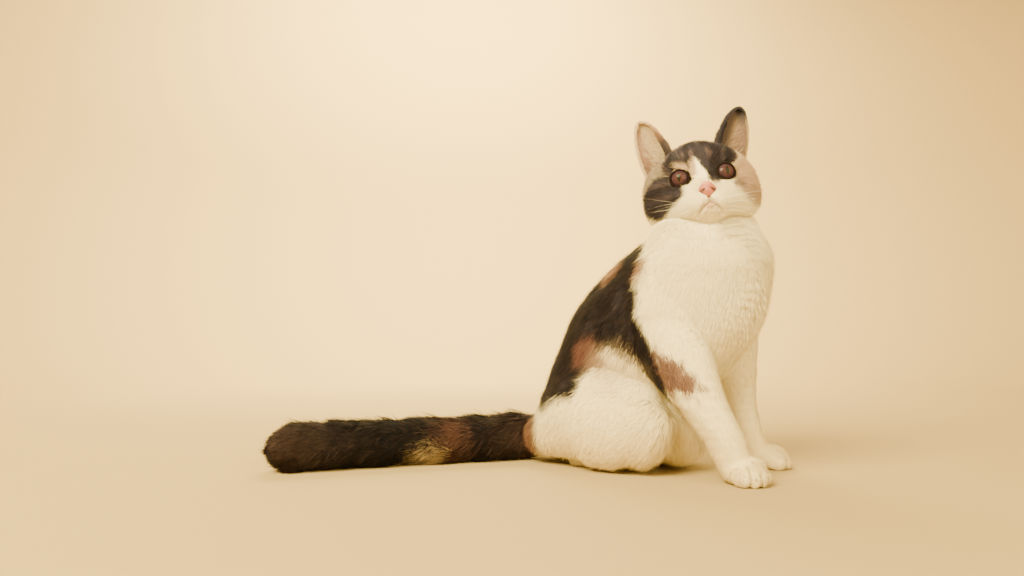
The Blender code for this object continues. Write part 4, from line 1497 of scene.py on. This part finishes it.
def closed_ring(grid):
    """A grid that closes on itself both ways, as points and faces."""
    rows, columns = grid.shape[:2]
    i = np.arange(rows)[:, None]
    j = np.arange(columns)[None, :]
    a, b = (i + 1) % rows, (j + 1) % columns
    faces = np.stack([i * columns + j, i * columns + b, a * columns + b, a * columns + j], -1)
    return grid.reshape(-1, 3), faces.reshape(-1, 4).tolist()


def outward(obj):
    """Turns the faces outwards and shades them smoothly."""
    form = bmesh.new()
    form.from_mesh(obj.data)
    bmesh.ops.recalc_face_normals(form, faces=form.faces)
    form.to_mesh(obj.data)
    form.free()
    obj.data.shade_smooth()


# Nose

# The nose leather: the latitudes of its top and bottom, half its width in degrees at shares of
# its height, the rows of its grid, and its colours in the nostrils, painted shade of the
# openings, and at the top.
NOSE_TOP = -15.0
NOSE_BOTTOM = -28.6
NOSE_WIDTHS = ((0, 3.4), (0.2, 5.4), (0.42, 7.8), (0.6, 8.4), (0.74, 6.6), (0.88, 3.0), (1, 1.1))
NOSE_ROWS = 61
NOSTRIL_SHADE_COLOUR = (0.055, 0.008, 0.008)
NOSE_TOP_COLOUR = (0.62, 0.36, 0.26)


def nose_width(v):
    """Half the nose's width in degrees at share v of its height from the top."""
    shares, widths = np.array(NOSE_WIDTHS, float).T
    return np.interp(v, shares, widths)


def nose_share(lon, lat):
    """How far within the nose leather a place is: above 0 within, 0 at the edge."""
    v = (NOSE_TOP - lat) / (NOSE_TOP - NOSE_BOTTOM)
    within = 1 - np.abs(lon) / nose_width(np.clip(v, 0, 1))
    return np.where((v > 0) & (v < 1), within, -1)


def build_nose():
    """The nose leather: a pad on the head's own surface, u across and v down. It stands proud by
    its bulge, with a groove in the middle and a comma-shaped nostril on each side."""
    u, v = np.meshgrid(np.linspace(-1, 1, NOSE_ROWS), np.linspace(0, 1, NOSE_ROWS))
    lon = u * nose_width(v) * 1.06
    lat = NOSE_TOP + (NOSE_BOTTOM - NOSE_TOP) * v
    round_off = np.sqrt(np.clip(1 - np.abs(u) ** 3, 0, 1))
    round_off = round_off * np.sqrt(np.clip(1 - (2 * v - 1) ** 6, 0, 1))
    tip = np.exp(-(((v - 0.52) / 0.26) ** 2)) * np.exp(-((u / 0.8) ** 2))
    wing = np.exp(-(((v - 0.62) / 0.16) ** 2) - ((np.abs(u) - 0.82) / 0.22) ** 2)
    bulge = -2.2 + 2.6 * round_off + 1.8 * tip + 0.9 * wing
    bulge -= 0.7 * np.exp(-((u * nose_width(v) / 0.7) ** 2)) * ramp(v, 0.45, 0.7)
    curl = (np.abs(u) - 0.62) * 0.35
    hole = np.exp(-(((v - 0.59 - curl) / 0.095) ** 2) - ((np.abs(u) - 0.6) / 0.3) ** 2)
    bulge -= 1.3 * hole
    radius = head_radius(lon, lat) - 0.6 + bulge
    inner = on_head(lon, lat, head_radius(lon, lat) - 6.0)
    points, faces = two_sided(on_head(lon, lat, radius), inner)
    nose = mesh_object("nose_leather", from_head(points), faces)
    outward(nose)
    pink = np.array(bpy.context.scene.cat_face.nose)
    # The nostrils' shallow dents are painted near black, a painted shade of open nostrils.
    deep = np.clip(hole.ravel() * 1.7, 0, 1)
    colour = mixed(pink, np.array(NOSTRIL_SHADE_COLOUR), deep)
    colour = mixed(colour, np.array(NOSE_TOP_COLOUR), 0.6 * ramp(-v.ravel(), -0.3, 0))
    colour = mixed(colour, pink * (0.75, 0.55, 0.55), 0.6 * ramp(np.abs(u.ravel()), 0.8, 1.0))
    paint(nose.data, np.vstack([colour, colour * 0.7]))
    leather = bare_material("nose_leather", 0.55, coat=0.05, scale=1500.0, height=0.0003)
    nose.data.materials.append(leather)
    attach(nose, "root")
    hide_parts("nose")


# Ears


def ear_frame(places):
    """The ear's root, long axis, edge across the root, flat edge, and the way of its back."""
    inner, outer, tip = (np.array(place, float) for place in places)
    root = (inner + outer) / 2
    axis = tip - root
    edge = (outer - inner) / 2
    flat_edge = edge - axis * np.dot(edge, axis) / np.dot(axis, axis)
    back = np.cross(axis, edge)
    back *= np.sign(back[1]) / np.linalg.norm(back)
    return root, axis, edge, flat_edge, back


def ear_point(places, u, v, out=0.0):
    """A place on the ear's hollow side, u across from the inner edge and v up from the root, as
    root + axis v + edge u w(v) + the cup; out carries it towards the back of the ear."""
    root, axis, edge, flat_edge, back = ear_frame(places)
    up = np.clip(v, 0, 1)[..., None]
    u, v = np.asarray(u)[..., None], np.asarray(v)[..., None]
    width = (1 - (0.997 * up) ** 2.2) ** 0.54 * (1 + 0.04 * np.sin(math.pi * up))
    across = edge * (1 - up) + flat_edge * up
    hollow = EAR_CUP * (1 - 0.75 * up) * (1 - u**2)
    deep = hollow + np.asarray(out)[..., None]
    return root + axis * v + across * (u * width) * 0.96 + back * deep


def ear_wall(u, v):
    """The ear's thickness: thin at the edges and the tip."""
    return 2.0 * (0.35 + 0.65 * (1 - u**2)) * (1 - 0.35 * np.clip(v, 0, 1))


def ear_colours(word, u, v, rear):
    """Colours of an ear: pink skin in the cup, the coat's own colour on the rim and the back."""
    shade = palette()
    pink = np.array(bpy.context.scene.cat_face.skin)
    place = np.stack([u * 20, v * 50, 0 * u], 1)
    mottle = 0.5 + 0.5 * noise(place, 9.0, 61)
    if word == "left":
        coat = mixed(shade["grey"], shade["brown"], 0.4 * mottle)
        outer = mixed(coat, shade["cream"], 0.85 * ramp(u, 0.3, 0.8) * ramp(-v, -0.85, -0.6))
        inner_dark = np.maximum(ramp(-u, 0.05, 0.45), ramp(v, 0.66, 0.9))
    else:
        cream = mixed(shade["cream"], shade["white"], 0.3 * mottle)
        outer = mixed(cream, shade["grey"], 0.9 * ramp(-u, 0.2, 0.7) * ramp(-v, -0.6, -0.25))
        inner_dark = 0.9 * ramp(-u, 0.45, 0.9) * ramp(-v, -0.5, -0.2)
    pale = mixed(shade["cream"], shade["white"], 0.45)
    edge = ramp(u, 0.7, 0.9)
    if word == "left":
        edge = edge * ramp(-v, -0.9, -0.7)
    else:
        edge = np.maximum(edge, ramp(v, 0.72, 0.95))
    outer = mixed(outer, pale, 0.85 * edge)
    if rear:
        return outer
    furred = 0.04 + 0.34 * ramp(-u, 0, 0.3) * ramp(-v, -0.6, -0.2)
    cup = ramp((1 - np.abs(u)) / furred, 0.3, 1.6) * ramp(1 - v, 0.03, 0.12)
    if word == "left":
        pink = pink * 0.45
    # Darker towards the root and the inner edge of the cup: painted shade in the deep hollow.
    skin = mixed(pink, pink * (0.5, 0.42, 0.42), ramp(-v - 0.3 * u, -0.75, -0.1))
    skin = mixed(skin, shade["grey"], 0.85 * inner_dark)
    return mixed(outer, skin, cup)


def build_ear(word, places):
    """An ear: its hollow front and its back as grids, joined round the rim."""
    v, u = np.meshgrid(np.linspace(-0.3, 0.995, 64), np.linspace(-1, 1, 48), indexing="ij")
    ridge = 0.5 * np.sin(u * 9 + 2) * ramp(v, 0.0, 0.2) * ramp(-v, -0.7, -0.4) * (1 - u**2)
    front = ear_point(places, u, v, ridge)
    rear = ear_point(places, u, v, ear_wall(u, v))
    points, faces = two_sided(front, rear)
    ear = mesh_object("ear_shell_" + word, from_head(points), faces)
    outward(ear)
    u, v = u.ravel(), v.ravel()
    paint(ear.data, np.vstack([ear_colours(word, u, v, False), ear_colours(word, u, v, True)]))
    ear.data.materials.append(
        bare_material("ear_skin_" + word, 0.6, gloss=0.2, scale=600.0, height=0.0003)
    )
    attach(ear, "root")
    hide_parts("ear_" + word)


def grid_direction(places, u, v, du, dv):
    """The way on the ear of a small step across and up, from the surface's own differences."""
    step = 0.01
    here = ear_point(places, u, v)
    return unit(ear_point(places, u + du * step, v + dv * step) - here)


def shell_hair(word, u, v, roots, out, lie, size, rng, sweep=0.16):
    """Short hair on the shell of an ear in the colours of its back: the tufts, their ways out,
    their colours and their places on the map."""
    hair = tuft_points(roots, out, lie, size, rng, clump=2.0, sweep=sweep)
    colours = ear_colours(word, u, v, True) * rng.uniform(0.85, 1.15, (len(u), 1))
    return hair, out, colours, np.stack([(u + 1) / 4, np.clip(v, 0, 1)], 1)


def back_hair(word, places, rng):
    """Short hair on the back of an ear, lying towards its tip."""
    count = EAR_BACK_HAIRS
    u, v = rng.uniform(-1, 1, count), rng.uniform(-0.1, 0.985, count)
    roots = ear_point(places, u, v, ear_wall(u, v))
    lie = grid_direction(places, u, v, 0.0, 1.0)
    out = np.cross(grid_direction(places, u, v, 1.0, 0.0), lie)
    out *= np.sign(out @ ear_frame(places)[-1])[:, None]
    return shell_hair(word, u, v, roots, out, lie, np.tile((1.1, 4.6, 0.5), (count, 1)), rng)


def rim_hair(word, places, rng):
    """Fine hair along the rim of an ear, which stands out to its side and forward. Low on the
    inner edge it is longer and covers more."""
    count = EAR_RIM_HAIRS
    _, _, edge, _, back = ear_frame(places)
    side = np.sign(rng.uniform(-1, 1, count))
    v = rng.uniform(0.02, 0.99, count)
    deep = np.where((side < 0) & (v < 0.6), 0.3, 0.07) * rng.random(count)
    u = side * (1 - deep)
    roots = ear_point(places, u, v, ear_wall(u, v) * rng.uniform(-0.2, 1, count) * (deep < 0.07))
    lie = grid_direction(places, u, v, 0.0, 1.0)
    out = unit(edge)[None] * side[:, None] - 1.3 * back
    out = unit(out - (out * lie).sum(1, keepdims=True) * lie)
    low = 1 + 0.5 * ramp(-v, -0.5, -0.1) * (side < 0)
    size = low[:, None] * (1.5, 4.4, 0.45)
    return shell_hair(word, u, v, roots, out, lie, size, rng, sweep=0.3)


def cup_hair(word, places, rng):
    """Long pale hairs that sweep from the inner edge of an ear across its cup, given as in
    shell_hair."""
    count = EAR_STRANDS
    v = rng.uniform(0.03, 0.86, count)
    u = np.minimum(-0.96 + np.abs(rng.normal(0, 0.62, count)), 0.7)
    roots = ear_point(places, u, v, -0.3)
    lie = grid_direction(places, u, v, 1.0, 0.42)
    out = np.cross(lie, grid_direction(places, u, v, 0.0, 1.0))
    out *= np.sign(-(out @ ear_frame(places)[-1]))[:, None]
    long = 17 * (1 - 0.6 * np.clip(v, 0, 1)) * (0.75 - 0.35 * u) * rng.uniform(0.6, 1.1, count)
    size = np.stack([2.2 + 0 * long, long, np.full(count, 0.34)], 1)
    hair = tuft_points(roots, out, lie, size, rng, clump=4.0, gather=0.6, sweep=0.22)
    shade = palette()
    pale = mixed(shade["white"], shade["cream"], 0.35 + 0.4 * rng.random(count))
    if word == "left":
        pale = mixed(pale, np.array(WARM_STRANDS), 0.6)
        dark = np.maximum(ramp(-u, -0.1, 0.5), ramp(v, 0.6, 0.85))
        pale = mixed(pale, shade["grey"] * 1.6, 0.8 * dark)
    colours = pale * rng.uniform(0.75, 1.15, (count, 1))
    return hair, out, colours, np.stack([0.5 + (u + 1) / 4, np.clip(v, 0, 1)], 1)


def ear_hair(word, places, material, rng):
    """All hair of an ear as one piece."""
    kinds = [grow(word, places, rng) for grow in (back_hair, rim_hair, cup_hair)]
    hair, out, colours, spots = (np.concatenate(parts) for parts in zip(*kinds))
    name, colours = "ear_hair_" + word, depth_shaded(np.clip(colours, 0, 1))
    made = tuft_object(name, from_head(hair), out @ HEAD_AXES.T, colours, spots, material)
    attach(made, "root")


# Whiskers

WHISKER_COLOUR = (0.85, 0.82, 0.76)
BROW_HAIRS = 2


def whisker_object(name, roots, ways, lengths, thick, droop, rng):
    """Long tapered hairs of four sides: a place at share s is root + length times s along its way
    + droop times s squared down, and its radius shrinks with 1 - s."""
    count, steps, sides = len(roots), 9, 4
    s = np.linspace(0, 1, steps)[None, :, None]
    bend = rng.normal(0, 0.06, (count, 1, 3)) + np.array([0, 0, -1]) * droop[:, None, None]
    path = roots[:, None] + lengths[:, None, None] * (ways[:, None] * s + bend * s**2)
    along = unit(np.gradient(path, axis=1))
    side = unit(np.cross(along, np.array([0.1, 0.3, 0.95])))
    up = np.cross(along, side)
    turn = np.linspace(0, 2 * math.pi, sides, endpoint=False)
    radius = thick[:, None, None] * (1 - 0.93 * s)
    ring = np.cos(turn)[:, None] * side[:, :, None] + np.sin(turn)[:, None] * up[:, :, None]
    points = (path[:, :, None] + ring * radius[:, :, None]).reshape(-1, 3)
    ends = np.array([[3, 2, 1, 0], [(steps - 1) * sides + k for k in range(sides)]])
    faces = np.vstack([grid_faces(steps, sides, True), ends])[None]
    faces = faces + (np.arange(count) * steps * sides)[:, None, None]
    made = mesh_object(name, points, faces.reshape(-1, 4))
    paint(made.data, np.tile(WHISKER_COLOUR, (len(points), 1)))
    return made


def build_whiskers():
    """Whiskers on each pad and a few long hairs over each eye."""
    face = bpy.context.scene.cat_face
    rng = np.random.default_rng(WHISKER_SEED)
    roots, ways, lengths, thick, droop = [], [], [], [], []
    for side in (1, -1):
        count = face.whiskers
        row = np.arange(count) % 4
        lon = side * (9 + 3.2 * (np.arange(count) // 4) + rng.uniform(-0.6, 0.6, count))
        lat = -32.5 - 2.6 * row + rng.uniform(-0.5, 0.5, count)
        start = on_head(lon, lat, flesh_radius(lon, lat) - 0.5)
        aside, ahead = side * rng.uniform(0.85, 1.0, count), rng.uniform(-0.28, 0.1, count)
        roots.append(start)
        ways.append(unit(np.stack([aside, ahead, 0.18 - 0.14 * row], 1)))
        lengths.append(rng.uniform(34, 52, count))
        thick.append(np.full(count, 0.09))
        droop.append(rng.uniform(0.05, 0.22, count))
        brow = BROW_HAIRS
        lon = side * (26 + rng.uniform(-4, 4, brow))
        lat = 17 + rng.uniform(-2, 2, brow)
        roots.append(on_head(lon, lat, flesh_radius(lon, lat) - 0.5))
        aside, up = side * rng.uniform(0.3, 0.8, brow), rng.uniform(0.5, 1, brow)
        ways.append(unit(np.stack([aside, np.full(brow, -0.5), up], 1)))
        lengths.append(rng.uniform(12, 18, brow))
        thick.append(np.full(brow, 0.05))
        droop.append(rng.uniform(0.0, 0.15, brow))
    parts = (roots, ways, lengths, thick, droop)
    roots, ways, lengths, thick, droop = (np.concatenate(part) for part in parts)
    ways = ways @ HEAD_AXES.T
    made = whisker_object("whiskers", from_head(roots), ways, lengths, thick, droop, rng)
    made.data.materials.append(bare_material("whisker", 0.35, coat=0.1))
    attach(made, "root")


# Stage and camera

# The camera: place in the cat's frame, way over the floor, rise in degrees and lens.
CAMERA_PLACE = (-714.7, -350.4, 127.6)
CAMERA_WAY = (0.875, 0.485)
CAMERA_PITCH = 4.72
CAMERA_LENS = 24.26
# The colour of all light, and each lamp: place, what it faces, size and share of the main light.
LAMP = (1.0, 0.80, 0.38)
CAT_MIDDLE = (0, 0, 0.18)
LIGHTS = {
    "key": ((-1.75, 0.25, 1.6), CAT_MIDDLE, 1.1, 1.0),
    "fill": ((-0.9, -1.9, 0.9), CAT_MIDDLE, 1.8, 0.32),
    "rim": ((1.4, 1.3, 1.8), CAT_MIDDLE, 1.4, 0.15),
    "backdrop": ((1.3, 0.9, 1.9), (2.3, 1.7, 0.6), 1.4, 1.3),
}
SURROUNDING = 0.9
# The floor's rings and sides, the shares of the rings where its flat ends and its wall begins,
# and the wall's height in metres.
FLOOR_RINGS = (60, 128)
FLAT_END = 0.3
WALL_FROM = 0.65
WALL_HEIGHT = 4.0


def build_stage():
    """A round pale floor that bends up to a wall beyond its edge, soft lights and a pale
    surrounding. The ring at a share of the way lies at radius + sin of its bend and at height
    1 - cos of it, in metres, and from there straight up."""
    stage = bpy.context.scene.cat_stage
    rings, sides = FLOOR_RINGS
    turn = np.linspace(0, 2 * math.pi, sides, endpoint=False)[None, :]
    share = np.linspace(0, 1, rings)[:, None]
    bend = np.clip((share - FLAT_END) / (WALL_FROM - FLAT_END), 0, 1) * math.pi / 2
    rise = np.clip((share - WALL_FROM) / (1 - WALL_FROM), 0, 1) * WALL_HEIGHT
    reach = stage.radius * np.clip(share / FLAT_END, 0.001, 1) + np.sin(bend)
    height = (1 - np.cos(bend)) + rise
    grid = np.stack([np.cos(turn) * reach, np.sin(turn) * reach, height + 0 * turn], -1)
    faces = grid_faces(rings, sides, True)[:, ::-1]
    mesh = bpy.data.meshes.new("floor")
    mesh.from_pydata(grid.reshape(-1, 3).tolist(), [], faces.tolist())
    mesh.shade_smooth()
    floor = bpy.data.objects.new("floor", mesh)
    bpy.context.scene.collection.objects.link(floor)
    material, tree, shader = new_material("pale_floor")
    add_bump(tree, shader, add_grain(tree, 60.0, 5.0), 0.1, 0.002)
    shader.inputs["Base Color"].default_value = (*stage.floor, 1)
    shader.inputs["Roughness"].default_value = 0.85
    floor.data.materials.append(material)
    for name, (place, target, size, share) in LIGHTS.items():
        add_light(name, place, target, size, stage.light * share)
    world = bpy.data.worlds.new("surrounding")
    bpy.context.scene.world = world
    world.use_nodes = True
    background = world.node_tree.nodes["Background"]
    background.inputs["Color"].default_value = (*LAMP, 1)
    background.inputs["Strength"].default_value = SURROUNDING


def add_light(name, place, target, size, power):
    """A square soft light that faces a target."""
    data = bpy.data.lights.new(name, "AREA")
    data.size = size
    data.energy = power
    data.color = LAMP
    light = bpy.data.objects.new(name, data)
    light.location = place
    light.rotation_mode = "QUATERNION"
    aim = Vector(target) - Vector(place)
    light.rotation_quaternion = aim.to_track_quat("-Z", "Y")
    bpy.context.scene.collection.objects.link(light)


def build_camera():
    """The camera at the photograph's place and angle."""
    data = bpy.data.cameras.new("camera")
    data.lens = CAMERA_LENS
    data.sensor_width = 36.0
    camera = bpy.data.objects.new("camera", data)
    camera.location = placed(CAMERA_PLACE)
    flat = Vector((*CAMERA_WAY, 0)).normalized()
    rise = math.radians(CAMERA_PITCH)
    way = flat * math.cos(rise) + Vector((0, 0, math.sin(rise)))
    camera.rotation_mode = "QUATERNION"
    camera.rotation_quaternion = way.to_track_quat("-Z", "Y")
    bpy.context.scene.collection.objects.link(camera)
    bpy.context.scene.camera = camera


# Operators


class CAT_OT_skin(bpy.types.Operator):
    """Build the skin of the head, body, legs and tail in one piece"""

    bl_idname = "cat.skin"
    bl_label = "Skin"

    def execute(self, context):
        skin = build_skin()
        skin.data.materials.clear()
        skin.data.materials.append(skin_material())
        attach(skin, "root")
        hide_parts(*FLESH_NODES)
        return {"FINISHED"}


class CAT_OT_eyes(bpy.types.Operator):
    """Build the eyes and the rims of the lids"""

    bl_idname = "cat.eyes"
    bl_label = "Eyes"

    def execute(self, context):
        build_eyes()
        return {"FINISHED"}


class CAT_OT_nose(bpy.types.Operator):
    """Build the nose leather"""

    bl_idname = "cat.nose"
    bl_label = "Nose"

    def execute(self, context):
        build_nose()
        return {"FINISHED"}


class CAT_OT_ears(bpy.types.Operator):
    """Build the ears and their hair"""

    bl_idname = "cat.ears"
    bl_label = "Ears"

    def execute(self, context):
        material = hair_material()
        for number, (word, places) in enumerate(EARS.items()):
            build_ear(word, places)
            ear_hair(word, places, material, np.random.default_rng(EAR_SEED + number))
        return {"FINISHED"}


class CAT_OT_coat(bpy.types.Operator):
    """Cover the skin with tufts of hair"""

    bl_idname = "cat.coat"
    bl_label = "Coat"

    def execute(self, context):
        skin = bpy.data.objects.get("skin")
        if skin is None:
            raise RuntimeError("build the skin before the coat")
        build_coat(skin)
        return {"FINISHED"}


class CAT_OT_whiskers(bpy.types.Operator):
    """Build the whiskers and the long hairs over the eyes"""

    bl_idname = "cat.whiskers"
    bl_label = "Whiskers"

    def execute(self, context):
        build_whiskers()
        return {"FINISHED"}


class CAT_OT_stage(bpy.types.Operator):
    """Set up the floor, the lights and the camera"""

    bl_idname = "cat.stage"
    bl_label = "Stage"

    def execute(self, context):
        build_stage()
        build_camera()
        return {"FINISHED"}


OPERATORS = (
    CAT_OT_skin,
    CAT_OT_eyes,
    CAT_OT_nose,
    CAT_OT_ears,
    CAT_OT_coat,
    CAT_OT_whiskers,
    CAT_OT_stage,
)


class CAT_PT_panel(bpy.types.Panel):
    """Buttons and settings for the cat"""

    bl_idname = "CAT_PT_panel"
    bl_label = "Sitting cat"
    bl_space_type = "VIEW_3D"
    bl_region_type = "UI"
    bl_category = "Cat"

    def draw(self, context):
        for settings in (context.scene.cat_coat, context.scene.cat_face, context.scene.cat_stage):
            box = self.layout.box()
            for name in settings.__annotations__:
                box.prop(settings, name)
        for operator in OPERATORS:
            self.layout.operator(operator.bl_idname)


CLASSES = (CoatSettings, FaceSettings, StageSettings, *OPERATORS, CAT_PT_panel)


def register():
    """Registers the classes and the settings."""
    for kind in CLASSES:
        bpy.utils.register_class(kind)
    bpy.types.Scene.cat_coat = PointerProperty(type=CoatSettings)
    bpy.types.Scene.cat_face = PointerProperty(type=FaceSettings)
    bpy.types.Scene.cat_stage = PointerProperty(type=StageSettings)


def unregister():
    """Removes the settings and the classes."""
    del bpy.types.Scene.cat_coat
    del bpy.types.Scene.cat_face
    del bpy.types.Scene.cat_stage
    for kind in reversed(CLASSES):
        bpy.utils.unregister_class(kind)


def main():
    """Builds every piece in order."""
    register()
    bpy.ops.cat.skin()
    bpy.ops.cat.eyes()
    bpy.ops.cat.nose()
    bpy.ops.cat.ears()
    bpy.ops.cat.coat()
    bpy.ops.cat.whiskers()
    bpy.ops.cat.stage()


if __name__ == "__main__":
    main()
